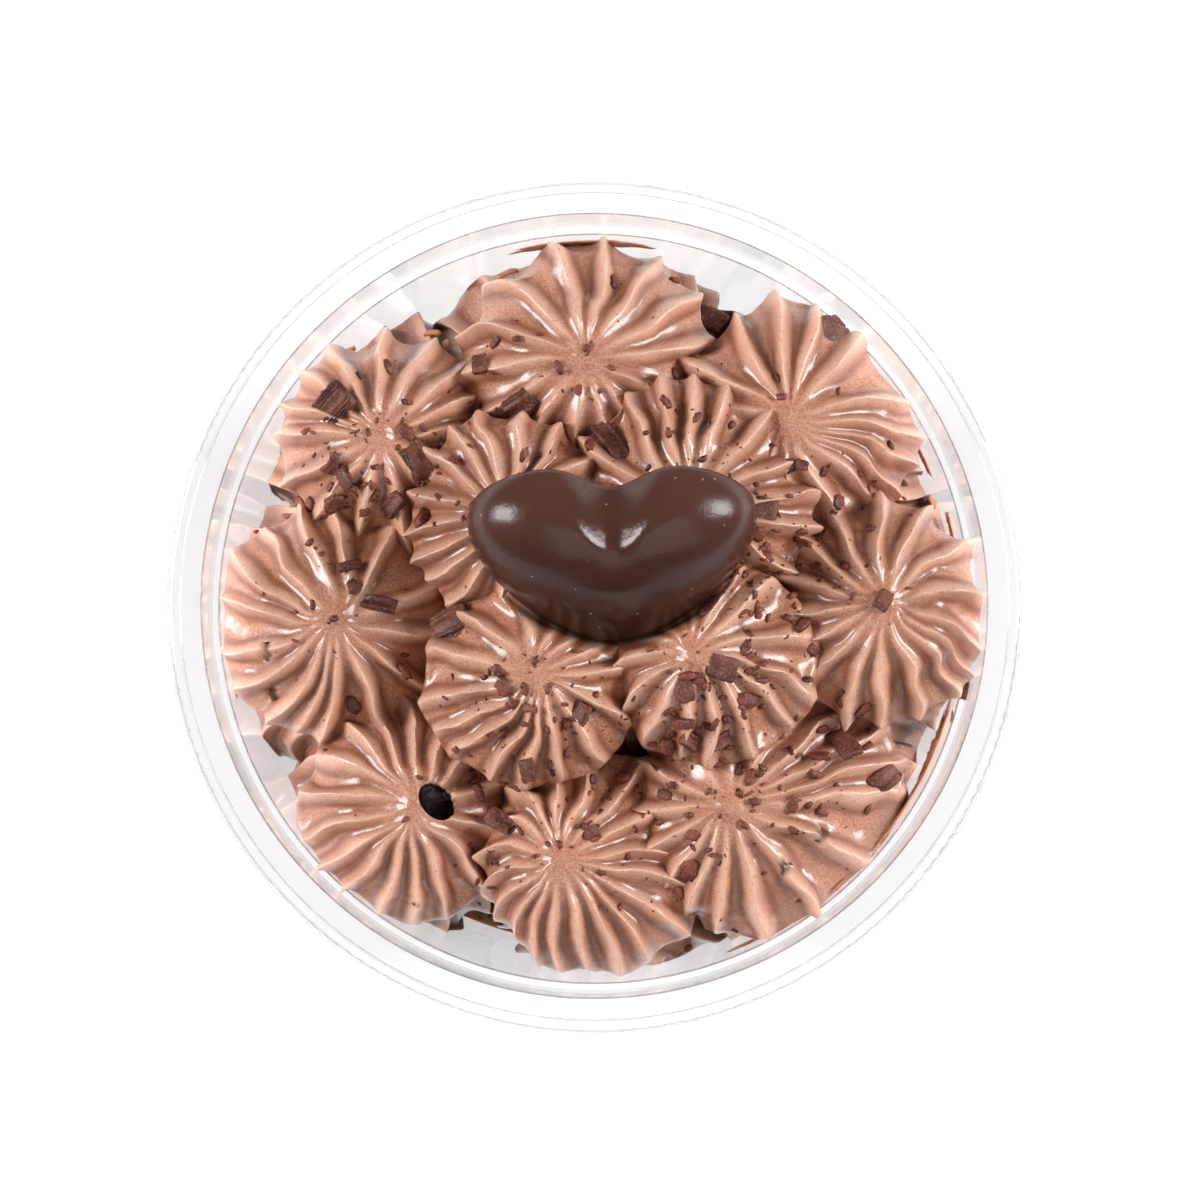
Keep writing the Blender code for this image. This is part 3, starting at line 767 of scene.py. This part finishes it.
def piped_rings(rosette, seed):
    """The rosette's rings, where each point lies in the flow of the cream, and its shares for the colour.

    Each ring is the side view's width and height at its level. Its points are moved in by the depth of
    the hollow, less the height of the bead, at a right angle to the side view.
    """
    count = len(rosette.ridges)
    width, level = smooth_through(SIDE_VIEW, ROWS).T
    if rosette.name.startswith("inner"):
        width = width * (1 + INNER_SPREAD * ease((0.5 - level) / 0.4))
    rise = ease((level - SKIRT_LEVEL + 0.07) / (1.07 - SKIRT_LEVEL))[:, None]
    in_tier = ease((TIER_LEVEL - level) / 0.16)[:, None]
    at_skirt = np.exp(-((level - SKIRT_LEVEL) / 0.1) ** 2)[:, None]
    below = level < SKIRT_LEVEL
    paths = ridge_paths(rosette, width, (rise - 1) * np.array(rosette.lean))
    paths += np.unwrap(paths[:, 0])[:, None] - paths[:, :1]
    paths[below] = paths[np.argmin(below)] + TIER_TWIST * ease((0.45 - level[below]) / 0.2)[:, None]
    angles, gaps, share = columns_between(paths)

    chord = rosette.radius * width[:, None] * gaps
    away = from_ridge(share, count)
    near, foot = bead_and_shaded_foot(away, width, chord)
    swell, lift, depth_change, tip = ridge_moods(np.random.default_rng(seed), share, count)
    hollow = 1 - (1 - away) ** HOLLOW_POWER
    shallow = 0.08 + 0.92 * ease((width[:, None] - 0.1) / 0.6)
    depth = GROOVE_DEPTH * chord * (1 + 0.18 * depth_change) * hollow * shallow
    depth = depth - BEAD_HEIGHT * near * np.minimum(chord / 2.6, 1) * (1 + 0.25 * depth_change)
    depth = depth * (1 - (1 - 0.8 * rosette.points) * at_skirt)
    flare = (np.maximum(0.2 * tip, 0) + np.maximum(tip - 0.9, 0)) * near * at_skirt * rosette.points

    height = heights(rosette, level)
    slope = np.stack([np.gradient(height), -np.gradient(rosette.radius * width)], axis=-1)
    slope /= np.linalg.norm(slope, axis=1, keepdims=True)
    reach = rosette.radius * width[:, None] * (1 + 0.02 * swell) - depth * slope[:, :1] + flare
    z = height[:, None] - depth * slope[:, 1:] + at_skirt * (0.35 * lift + 0.4 * flare)
    rings = np.stack([reach * np.cos(angles), reach * np.sin(angles), z], axis=-1)
    rings = loosen(set_in_place(rosette, rings, rise, in_tier), level, seed)

    flow = np.stack([np.cos(angles) * 8, np.sin(angles) * 8, 0.6 * level[:, None] + 0 * angles], axis=-1)
    # Painted light: the skirts that face the wall are painted a cool grey for the light that comes in through
    # it.
    outer = np.maximum(np.cos(angles - math.atan2(rosette.y, rosette.x)), 0)
    far_out = min(math.hypot(rosette.x, rosette.y) / PAINTED_WALL_LIGHT_FROM, 1)
    painted_wall_light = outer * np.exp(-((level - SKIRT_LEVEL) / 0.13) ** 2)[:, None] * far_out ** 4
    # The tier share also carries painted shade on the lower bulge, and the foot share painted shade beside
    # each ridge.
    return rings, flow, {"crest": near, "foot": foot, "painted_wall_light": painted_wall_light, "tier": in_tier + 0 * depth}


print("a rosette with 14 ridges:", piped_rings(ROSETTES[0], 7)[0].shape[:2], "rings and columns")

# %% [markdown]
# ### What the cream gives way to
# Air bubbles burst at the surface and leave holes, painted dark for the shade in them. The heart was pushed
# in afterwards, so the cream under it is pressed down and stands up round it as a narrow lip. At the wall
# the cream is pressed flat.

# %% Pits, the heart's bed and the wall
PITS = (
    # x, y, length, width, direction and depth of each hole
    (-21.6, -26.9, 5.6, 3.9, -50, 6.0),
    (26.0, -35.9, 1.9, 1.5, 30, 1.3),
    (30.8, -31.4, 2.4, 1.3, 50, 1.1),
    (-44.6, -6.3, 2.6, 1.0, 92, 1.2),
    (-44.0, -12.0, 1.8, 0.9, 115, 1.1),
    (-45.7, -3.8, 1.6, 0.5, 60, 0.8),
    (-24.5, -40.8, 1.3, 0.6, -20, 0.8),
)
PIT_FLOOR = 47                  # below this height the cream is left whole
COVER_SECTORS = 96              # directions in which the heart's outline is measured
COVER_CLEARANCE = 0.5           # the cream stays this far under the heart's back
COVER_MARGIN = 1.8              # and gives way this far round it
COVER_LIP = 0.7                 # height of the lip that stands up there


def sink_pits(rings, shares):
    """Pushes the surface down inside each pit's ellipse.

    Points near the ellipse are first drawn towards it, so that the grid follows the pit's edge and the
    side of the pit is steep.
    """
    shares["pit"] = 0 * shares["crest"]
    for x, y, length, width, heading, depth in PITS:
        turned = math.radians(heading)
        across, up = rings[..., 0] - x, rings[..., 1] - y
        ahead = (across * math.cos(turned) + up * math.sin(turned)) / (length / 2)
        beside = (up * math.cos(turned) - across * math.sin(turned)) / (width / 2)
        away = np.maximum(np.hypot(ahead, beside), 1e-6)
        open_side = rings[..., 2] > PIT_FLOOR
        drawn = (1 + (away - 1) * (1 - 0.85 * np.exp(-((away - 1) / 0.35) ** 2))) / away
        drawn = np.where(open_side, drawn, 1)
        rings[..., 0], rings[..., 1] = x + across * drawn, y + up * drawn
        inside = ease((1.06 - away) / 0.12) * open_side
        rings[..., 2] -= depth * inside
        # Painted shade: the floor of each pit gets a dark tone for the shade in the hole.
        shares["pit"] += inside * min(depth / 2.0, 1)
    return rings


def tuck_under(rings, cover):
    """Presses the cream down where it would stand over the piece whose rings are given.

    Seen from above, the cover's outline is a distance from its middle for each direction, and each point
    of the outline has a height. Cream inside the outline is moved down to that height; outside it the
    press fades away over the margin, where the cream that gave way stands up as a narrow lip.
    """
    flat = cover.reshape(-1, 3)
    middle = (flat[:, :2].min(axis=0) + flat[:, :2].max(axis=0)) / 2
    away = np.hypot(*(flat[:, :2] - middle).T)
    order = np.argsort(away)
    turned = np.arctan2(*(flat[:, 1::-1] - middle[::-1]).T)
    sector = ((turned / (2 * math.pi)) % 1 * COVER_SECTORS).astype(int)
    outline = np.zeros((COVER_SECTORS, 2))
    outline[sector[order]] = np.column_stack([away, flat[:, 2]])[order]
    outline = (outline + np.roll(outline, 1, axis=0) + np.roll(outline, -1, axis=0)) / 3
    bearing = np.arctan2(rings[..., 1] - middle[1], rings[..., 0] - middle[0])
    spots = (np.arange(COVER_SECTORS) + 0.5) * 2 * math.pi / COVER_SECTORS
    reach, height = (np.interp(bearing, spots, values, period=2 * math.pi) for values in outline.T)
    outside = np.hypot(rings[..., 0] - middle[0], rings[..., 1] - middle[1]) - reach
    over = np.maximum(rings[..., 2] - height + COVER_CLEARANCE, 0)
    rings[..., 2] -= over * ease(1 - outside / COVER_MARGIN)
    touching = ease(1 - np.abs(rings[..., 2] - height) / 4)
    rings[..., 2] += COVER_LIP * touching * np.exp(-((outside / COVER_MARGIN - 0.5) / 0.35) ** 2)
    return rings


def press_on_wall(rings):
    """Points beyond the inside of the cup are moved level towards its axis, just into the wall."""
    radius = np.hypot(rings[..., 0], rings[..., 1])
    limit = wall_radius(rings[..., 2]) + INTO_WALL
    rings[..., :2] *= np.minimum(1, limit / radius)[..., None]
    return rings


print(f"{len(PITS)} pits, the largest {PITS[0][2]} mm long and {PITS[0][5]} mm deep")

# %% [markdown]
# ### Chocolate cream
# Whipped cream with cocoa is matt and dense, with a soft shine, bubbles of a few tenths of a millimetre and
# fine scratches along the way it was pushed through the tip. A little light travels through it, which warms
# the shadows. The thin ridges are painted lighter, because light reaches them from both sides. Shade is
# painted darker beside each ridge, on the lower bulge and in burst bubbles, and the skirts that face the
# wall are painted a cool grey for the light that comes in through it.

# %% Whipped chocolate cream
# Each of these tones is painted light or painted shade.
CREAM_TONES = (
    # the share that a rosette's points carry, how much of it is taken, and the colour that it brings
    ("foot", 0.95, "#80462c"),      # painted shade beside a ridge
    ("crest", 0.8, "#e0b29b"),      # on a ridge
    ("painted_wall_light", 0.55, "#ab948d"),     # painted cool light on the skirts that face the wall
    ("tier", 0.8, "#5a3020"),       # painted shade on the lower bulge
    ("pit", 1.0, "#2e170d"),        # painted shade in a burst bubble
)


def chocolate_cream():
    """Warm brown with fine grain, then each tone of painted light and shade over it in turn, a few specks,
    bubbles and scratches.
    """
    soft = {
        "Subsurface Weight": 0.07, "Subsurface Scale": 0.8 * MM, "Subsurface Radius": (1.0, 0.45, 0.3),
        "IOR": 1.45, "Coat Weight": 0.75, "Coat Roughness": 0.20, "Coat IOR": 1.5,
    }
    material, tree, shader, coords = start_material("whipped_chocolate_cream", soft)
    patches = add_node(tree, "TexNoise", {"Vector": coords, "Scale": every(4.545), "Detail": 3.0})
    grains = add_node(tree, "TexNoise", {"Vector": coords, "Scale": every(0.303), "Detail": 2.0})
    grained = add_node(tree, "MapRange", {"Value": grains, "From Min": 0.4, "From Max": 0.6, "To Max": 0.9})
    tone = add_node(tree, "Math", {0: patches, 1: 0.3, 2: grained}, operation="MULTIPLY_ADD")
    paint = add_node(tree, "Mix", {0: tone, 6: "#a1674b", 7: "#c2886c"}, data_type="RGBA")
    for name, most, colour in CREAM_TONES:
        share = add_node(tree, "Attribute", attribute_name=name).outputs["Fac"]
        amount = add_node(tree, "Math", {0: share, 1: most}, operation="MULTIPLY")
        paint = add_node(tree, "Mix", {0: amount, 6: paint, 7: colour}, data_type="RGBA")
    specks = add_node(tree, "TexVoronoi", {"Vector": coords, "Scale": every(0.625)})
    plain = add_node(tree, "MapRange", {"Value": specks, "From Min": 0.12, "From Max": 0.22})
    speckled = add_node(tree, "Mix", {0: plain, 6: "#9c6850", 7: paint}, data_type="RGBA")
    bubbles = add_node(tree, "TexNoise", {"Vector": coords, "Scale": every(0.3846), "Detail": 3.0})
    span = {"Value": bubbles, "From Min": 0.3, "From Max": 0.7, "To Min": 0.34, "To Max": 0.50}
    rough = add_node(tree, "MapRange", span)
    fine = add_node(tree, "Bump", {"Height": bubbles, "Strength": 0.7, "Distance": 0.18 * MM})
    flow = add_node(tree, "Attribute", attribute_name="flow").outputs["Vector"]
    scratches = add_node(tree, "TexNoise", {"Vector": flow, "Scale": 5.0, "Detail": 4.0})
    lines = {"Height": scratches, "Strength": 0.3, "Distance": 0.2 * MM, "Normal": fine}
    bump = add_node(tree, "Bump", lines)
    connect(shader, {"Base Color": speckled, "Roughness": rough, "Normal": bump})
    return material


def set_attribute(thing, name, kind, values):
    """Stores one value or vector for each point of the mesh; the poles repeat the last point's."""
    spare = len(thing.data.vertices) - len(values)
    values = np.concatenate([values, np.repeat(values[-1:], spare, axis=0)])
    field = "value" if kind == "FLOAT" else "vector"
    layer = thing.data.attributes.new(name, kind, "POINT")
    layer.data.foreach_set(field, values.astype(np.float32).ravel())


cream = chocolate_cream()
over_cream = heart_rings()
piped = []
for number, rosette in enumerate(ROSETTES):
    rings, flow, shares = piped_rings(rosette, 100 * number + 7)
    rings = press_on_wall(tuck_under(sink_pits(rings, shares), over_cream))
    thing = make_piece("cream_" + rosette.name, rings[None], "rosette_" + rosette.name, cream)
    for attribute, values in shares.items():
        set_attribute(thing, attribute, "FLOAT", values.ravel())
    set_attribute(thing, "flow", "FLOAT_VECTOR", flow.reshape(-1, 3))
    piped.append(thing)

# %% [markdown]
# ### Dark chocolate
# Tempered chocolate that has been handled is satin, not mirror-like. It is a very dark brown, painted a grey
# purple towards the back as a sheen of the light from above, with tiny pale specks of dust and cocoa butter.

# %% Tempered dark chocolate
def dark_chocolate():
    """Very dark brown, painted greyer towards the back as a sheen of the light from above, with a few pale
    specks of dust.
    """
    material, tree, shader, coords = start_material("tempered_dark_chocolate", {"IOR": 1.37})
    cloud = add_node(tree, "TexNoise", {"Vector": coords, "Scale": every(11.1), "Detail": 4.0})
    plain = add_node(tree, "Mix", {0: cloud, 6: "#30150c", 7: "#3e1f15"}, data_type="RGBA")
    # Painted sheen: the back, which is the heart's upper part, turns grey for the light from above.
    back = add_node(tree, "SeparateXYZ", {"Vector": coords}).outputs["Y"]
    greyed = {"Value": back, "From Min": -6 * MM, "From Max": 18 * MM, "To Max": 0.9}
    grey_sheen = add_node(tree, "MapRange", greyed)
    body = add_node(tree, "Mix", {0: grey_sheen, 6: plain, 7: "#573830"}, data_type="RGBA")
    dust = add_node(tree, "TexVoronoi", {"Vector": coords, "Scale": every(1.613)})
    dot = add_node(tree, "MapRange", {"Value": dust, "From Min": 0.13, "From Max": 0.07})
    pick = add_node(tree, "Math", {0: dust.outputs["Color"], 1: 0.72}, operation="GREATER_THAN")
    picked = add_node(tree, "Math", {0: dot, 1: pick}, operation="MULTIPLY")
    faint = add_node(tree, "Math", {0: picked, 1: 0.8}, operation="MULTIPLY")
    dusty = add_node(tree, "Mix", {0: faint, 6: body, 7: "#b08a7a"}, data_type="RGBA")
    span = {"Value": cloud, "From Min": 0.35, "From Max": 0.65, "To Min": 0.15, "To Max": 0.27}
    rough = add_node(tree, "MapRange", span)
    grain = add_node(tree, "TexNoise", {"Vector": coords, "Scale": every(0.6667), "Detail": 2.0})
    bump = add_node(tree, "Bump", {"Height": grain, "Strength": 0.3, "Distance": 0.1 * MM})
    connect(shader, {"Base Color": dusty, "Roughness": rough, "Normal": bump})
    return material


heart = make_piece("chocolate_heart", heart_rings()[None], "heart", dark_chocolate())

# %% [markdown]
# ## Shavings
# A knife drawn over a chocolate block lifts short curls with scored backs, and breaks off flakes and
# crumbs. The largest curls are placed one by one, the flakes and crumbs are strewn in patches. Each is a
# closed sleeve: a flat cross-section carried along an arc, with ragged ends. All of one kind are made in
# one go and joined, because hundreds of separate objects would be slow and tiresome to handle.

# %% Where the cream's surface is
depsgraph = bpy.context.evaluated_depsgraph_get()
surfaces = [BVHTree.FromObject(thing, depsgraph) for thing in piped + [heart]]
ABOVE_ALL = 100


def land(x, y):
    """The highest point at (x, y), in mm, the direction that it faces, and whether it is on the cream."""
    start = Vector((x * MM, y * MM, ABOVE_ALL * MM))
    best, facing, on_cream = Vector((x, y, CAKE_TOP)), Vector((0, 0, 1)), True
    for surface in surfaces:
        place, normal, _, _ = surface.ray_cast(start, Vector((0, 0, -1)))
        if place is not None and place.z / MM > best.z:
            best, facing, on_cream = place / MM, normal, surface is not surfaces[-1]
    return best, facing, on_cream


def chips(places, facings, sizes, headings, curls, grooves, rows, columns, rough, seed):
    """Rings (chips, rows, columns, 3) of curved slabs.

    sizes holds length, width and thickness. The cross-section is a flat rounded rectangle whose upper
    side carries the given number of grooves. It is carried along an arc that turns through the curl's
    angle, and it narrows unevenly at both ends. rough scales everything that is uneven.
    """
    random = np.random.default_rng(seed)
    count = len(places)
    along = np.linspace(-1, 1, rows)
    around = np.arange(columns) * 2 * math.pi / columns
    flat = np.sign(np.cos(around)) * np.abs(np.cos(around)) ** 0.55
    thick = np.sign(np.sin(around)) * np.abs(np.sin(around)) ** 0.6
    scored = 0.5 + 0.5 * np.cos(np.cos(around) * math.pi * grooves[:, None, None])
    groove = 1 - 0.4 * scored * (thick > 0) * (grooves[:, None, None] > 0)
    length, width, thickness = (sizes[:, axis, None, None] for axis in range(3))
    ragged = 1 + rough * random.uniform(-0.28, 0.22, (count, rows, 1))
    ragged = ragged * (1 - 0.35 * rough * np.abs(along[None, :, None]) ** 3)
    torn = rough * random.uniform(-0.2, 0.25, (count, 1, columns)) * np.abs(along)[None, :, None]
    ends = along[None, :, None] * (1 + torn)
    bow = np.maximum(curls, 0.02)[:, None, None]
    turned = bow * ends / 2
    radius = length / bow
    lift = thick * groove * thickness / 2 * (1 + rough * random.uniform(-0.2, 0.2, (count, rows, columns)))
    local_x = (radius + lift) * np.sin(turned)
    local_z = (radius + lift) * np.cos(turned) - radius
    local_y = flat * width / 2 * ragged + 0 * local_x
    rise = np.asarray(facings, float)
    ahead = np.stack([np.cos(headings), np.sin(headings), 0 * headings], axis=-1)
    ahead = ahead - rise * (ahead * rise).sum(axis=1, keepdims=True)
    ahead /= np.linalg.norm(ahead, axis=1, keepdims=True)
    side = np.cross(rise, ahead)
    local = np.stack([local_x, local_y, local_z], axis=-1)
    axes = np.stack([ahead, side, rise], axis=1)
    return np.einsum("crsk,ckd->crsd", local, axes) + np.asarray(places, float)[:, None, None, :]


print(f"the peak of the western rosette is {land(-35, -2)[0].z:.1f} mm high")

# %% [markdown]
# ### Shaved chocolate
# A broken surface scatters more light than a cast one: it is matt, redder where it is thin, and dusted
# with its own fine powder, which looks purple grey on the high places. Here that grey lies in random spots,
# partly as the powder and partly as painted sheen.

# %% Shaved dark chocolate
def shaved_chocolate(name, dark, light):
    """Mottled from a dark to a light brown, with purple grey spots of a third of a millimetre: powder and
    painted sheen.
    """
    material, tree, shader, coords = start_material(name, {"IOR": 1.45})
    grain = add_node(tree, "TexNoise", {"Vector": coords, "Scale": every(2.38), "Detail": 6.0})
    spread = add_node(tree, "MapRange", {"Value": grain, "From Min": 0.35, "From Max": 0.65})
    body = add_node(tree, "Mix", {0: spread, 6: dark, 7: light}, data_type="RGBA")
    powder = add_node(tree, "TexNoise", {"Vector": coords, "Scale": every(0.3125), "Detail": 2.0})
    # The purple grey spots are partly powder and partly painted sheen.
    grey_sheen = add_node(tree, "MapRange", {"Value": powder, "From Min": 0.55, "From Max": 0.75, "To Max": 0.45})
    dusty = add_node(tree, "Mix", {0: grey_sheen, 6: body, 7: "#b48e88"}, data_type="RGBA")
    rough = add_node(tree, "MapRange", {"Value": grain, "To Min": 0.40, "To Max": 0.65})
    bump = add_node(tree, "Bump", {"Height": powder, "Strength": 0.5, "Distance": 0.2 * MM})
    connect(shader, {"Base Color": dusty, "Roughness": rough, "Normal": bump})
    return material


curled = shaved_chocolate("shaved_dark_chocolate", "#431b11", "#76412f")
crushed = shaved_chocolate("crushed_dark_chocolate", "#4a1b0d", "#844230")
print("materials:", curled.name, crushed.name)

# %% [markdown]
# ### The larger curls
# Each has its place on the cream, a length, a width and a thickness, the direction in which it points and
# how far it is curled up.

# %% Curls
CURLS = (
    # x, y, length, width, thickness, heading, curl, grooves
    (-35.6, 27.5, 6.2, 4.6, 1.7, 42, 25, 9),
    (-19.3, -2.7, 5.2, 4.2, 2.0, 22, 30, 3),
    (-23.8, 19.0, 5.8, 3.6, 2.4, 118, 70, 1),
    (16.2, 40.7, 4.4, 3.4, 2.4, -28, 60, 0),
    (32.4, 37.9, 5.6, 4.6, 0.9, 20, 15, 0),
    (-10.2, 27.7, 3.8, 3.6, 2.0, 45, 50, 3),
    (2.4, 21.8, 6.8, 2.8, 2.0, 118, 40, 1),
    (34.2, -19.1, 4.8, 3.4, 1.1, 110, 20, 0),
    (39.6, -23.6, 4.0, 3.4, 2.0, 35, 50, 2),
    (17.2, -9.0, 3.8, 3.4, 1.0, -20, 10, 0),
    (-1.9, -15.0, 3.4, 2.6, 1.4, 60, 30, 2),
    (-9.1, -22.7, 3.2, 2.2, 1.2, -70, 40, 2),
    (-29.3, 0.0, 4.6, 2.2, 1.3, -15, 30, 2),
    (-33.5, 5.2, 3.2, 1.4, 1.0, 20, 30, 0),
    (-34.3, 17.3, 3.6, 1.6, 1.2, -60, 60, 1),
    (-27.3, 13.8, 3.4, 2.6, 1.5, 40, 40, 2),
    (23.1, 12.4, 3.4, 3.4, 1.5, 80, 30, 0),
    (12.2, -12.0, 3.0, 2.6, 1.1, 100, 30, 0),
    (12.9, -18.7, 3.2, 2.4, 1.5, -30, 50, 2),
    (16.9, -18.7, 3.0, 2.0, 1.2, 20, 30, 1),
    (-12.9, -29.3, 3.4, 2.6, 1.6, -30, 30, 2),
    (-15.7, 33.1, 2.8, 2.2, 1.4, 100, 40, 1),
    (39.1, 0.2, 2.6, 2.2, 1.2, 60, 20, 0),
)


LEVELLED = 0.6                  # what is added upwards to the direction that the cream faces


def strewn(name, table, rows, columns, rough, seed, sink, material):
    """One piece of chips from rows of x, y, length, width, thickness, heading, curl and grooves.

    Each lies on the highest cream at its x and y, a little more level than the cream, and raised by the
    share sink of its thickness. A chip that would land on the heart is left out.
    """
    table = np.asarray(table, float)
    landed = [land(x, y) for x, y in table[:, :2]]
    table = table[[on_cream for _, _, on_cream in landed]]
    landed = [row for row in landed if row[2]]
    facings = np.array([tuple(facing) for _, facing, _ in landed])
    facings[:, 2] += LEVELLED
    facings /= np.linalg.norm(facings, axis=1, keepdims=True)
    places = np.array([tuple(place) for place, _, _ in landed]) + facings * (table[:, 4:5] * sink)
    headings, curls = np.radians(table[:, 5:7]).T
    rings = chips(places, facings, table[:, 2:5], headings, curls, table[:, 7], rows, columns, rough, seed)
    make_piece(name, press_on_wall(rings), None, material)


strewn("curls", CURLS, 17, 96, 0.25, 5, 0.25, curled)

# %% [markdown]
# ### Flakes and crumbs
# They fall in patches, thick to the right of the heart and on the front rosettes, thin on the left and at the
# upper right. Each patch has a middle, a spread and a share. Sizes follow a skewed distribution: many are
# under a millimetre and few reach three.

# %% Flakes and crumbs
PATCHES = (
    # x, y, spread, share
    (22.0, 3.0, 6.5, 0.16),
    (17.0, -12.0, 6.5, 0.11),
    (-6.0, -14.0, 7.5, 0.10),
    (4.0, -29.0, 9.0, 0.12),
    (-12.0, -28.0, 6.0, 0.04),
    (28.0, -24.0, 7.0, 0.07),
    (-34.0, 17.0, 5.0, 0.06),
    (-24.0, 20.0, 6.0, 0.04),
    (14.0, 21.0, 7.0, 0.07),
    (34.0, 12.0, 6.0, 0.05),
    (-4.0, 33.0, 9.0, 0.05),
    (-36.0, -4.0, 9.0, 0.03),
)
STREWN_RADIUS = 50


def patchy(count, low, high, seed):
    """Rows for strewn: places drawn from the patches, sizes between low and high, most of them small."""
    random = np.random.default_rng(seed)
    middles = np.array(PATCHES)
    shares = middles[:, 3] / middles[:, 3].sum()
    chosen = middles[random.choice(len(middles), count, p=shares)]
    places = chosen[:, :2] + random.normal(size=(count, 2)) * chosen[:, 2:3]
    inside = np.hypot(places[:, 0], places[:, 1]) < STREWN_RADIUS
    length = low + (high - low) * random.uniform(0, 1, count) ** 2.5
    width = length * random.uniform(0.45, 0.95, count)
    thickness = length * random.uniform(0.35, 0.65, count)
    heading = random.uniform(0, 360, count)
    curl = random.uniform(5, 60, count)
    table = np.column_stack([places, length, width, thickness, heading, curl, 0 * curl])
    return table[inside]


strewn("flakes", patchy(130, 1.2, 2.8, 21), 6, 14, 1.0, 22, 0.25, crushed)
strewn("crumbs", patchy(620, 0.35, 1.3, 23), 3, 6, 1.0, 24, 0.2, crushed)

# %% [markdown]
# ## Torn and smeared cream
# Where the cream touched the wall and was pulled along it, its skin tore into small plates that stick out
# beyond the skirts, and a thin film stayed on the plastic. Both are the same curved slabs as the chips: the
# plates stand on edge, and a film follows the wall's curve.

# %% Plates and films on the wall
TORN = (
    # x, y, z, length, width, heading
    (51.6, 7.6, 54.6, 2.6, 1.5, 60),
    (53.2, -5.0, 54.6, 2.8, 1.6, 100),
    (52.0, -11.6, 54.4, 2.8, 1.8, 60),
    (50.4, -15.4, 53.4, 1.8, 1.0, 20),
    (46.6, 14.6, 53.0, 1.8, 1.2, 120),
    (-39.8, -31.6, 50.6, 2.4, 1.6, 80),
    (-39.0, 32.4, 51.0, 1.6, 1.0, 20),
    (-42.6, 26.0, 51.2, 2.2, 1.2, 110),
    (-34.4, 35.6, 49.6, 2.6, 1.4, 40),
    (-22.6, 38.4, 50.4, 2.4, 1.0, 150),
    (-20.6, 36.8, 50.6, 2.2, 1.0, 110),
    (-12.2, 46.6, 51.4, 3.0, 1.4, 40),
    (-49.8, -11.6, 51.2, 1.8, 1.2, 90),
)
FILMS = (
    # bearing, span in degrees, z, height
    (92, 19, 51.6, 3.6),
    (-41, 48, 51.4, 3.4),
    (-135, 14, 49.6, 3.0),
    (31, 17, 49.0, 3.0),
    (12, 6, 50.5, 3.0),
    (-22, 10, 50.5, 4.0),
)
FILM_THICKNESS = 0.35
PLATE_THICKNESS = 0.45
PLATE_LEAN = (0.8, 0.6)         # how much of a plate's facing is level, and how much is upwards


def torn_cream():
    """The cream's own browns a little warmer, because light comes through the thin skin."""
    thin = {"Roughness": 0.4, "Subsurface Weight": 0.1, "Subsurface Scale": 0.6 * MM}
    material, tree, shader, coords = start_material("thin_chocolate_cream", thin)
    grain = add_node(tree, "TexNoise", {"Vector": coords, "Scale": every(1.43), "Detail": 3.0})
    brown = add_node(tree, "Mix", {0: grain, 6: "#96532f", 7: "#c08259"}, data_type="RGBA")
    connect(shader, {"Base Color": brown})
    return material


def plate_rings():
    """The small plates: nearly on edge, each with its face to the axis."""
    torn = np.array(TORN)
    same = np.ones((len(torn), 1))
    inwards = torn[:, :2] / np.linalg.norm(torn[:, :2], axis=1, keepdims=True)
    facings = np.column_stack([PLATE_LEAN[0] * inwards, PLATE_LEAN[1] * same])
    sizes = np.column_stack([torn[:, 3:5], PLATE_THICKNESS * same])
    curls, grooves = 0.7 * same[:, 0], 0 * same[:, 0]
    return chips(torn[:, :3], facings, sizes, np.radians(torn[:, 5]), curls, grooves, 9, 16, 1.0, 31)


def film_rings():
    """The films: each lies against the wall and is curled round the axis by its own span."""
    films = np.array(FILMS)
    bearings, spans = np.radians(films[:, :2]).T
    radii = wall_radius(films[:, 2])
    outwards = np.column_stack([np.cos(bearings), np.sin(bearings), 0 * bearings])
    places = outwards * (radii - FILM_THICKNESS / 2)[:, None] + films[:, 2:3] * (0, 0, 1)
    sizes = np.column_stack([spans * radii, films[:, 3], 0 * spans + FILM_THICKNESS])
    return chips(places, outwards, sizes, bearings + math.pi / 2, spans, 0 * spans, 25, 16, 1.0, 32)


thin_cream = torn_cream()
for name, rings in (("torn_cream", plate_rings()), ("cream_films", film_rings())):
    make_piece(name, press_on_wall(rings), None, thin_cream)
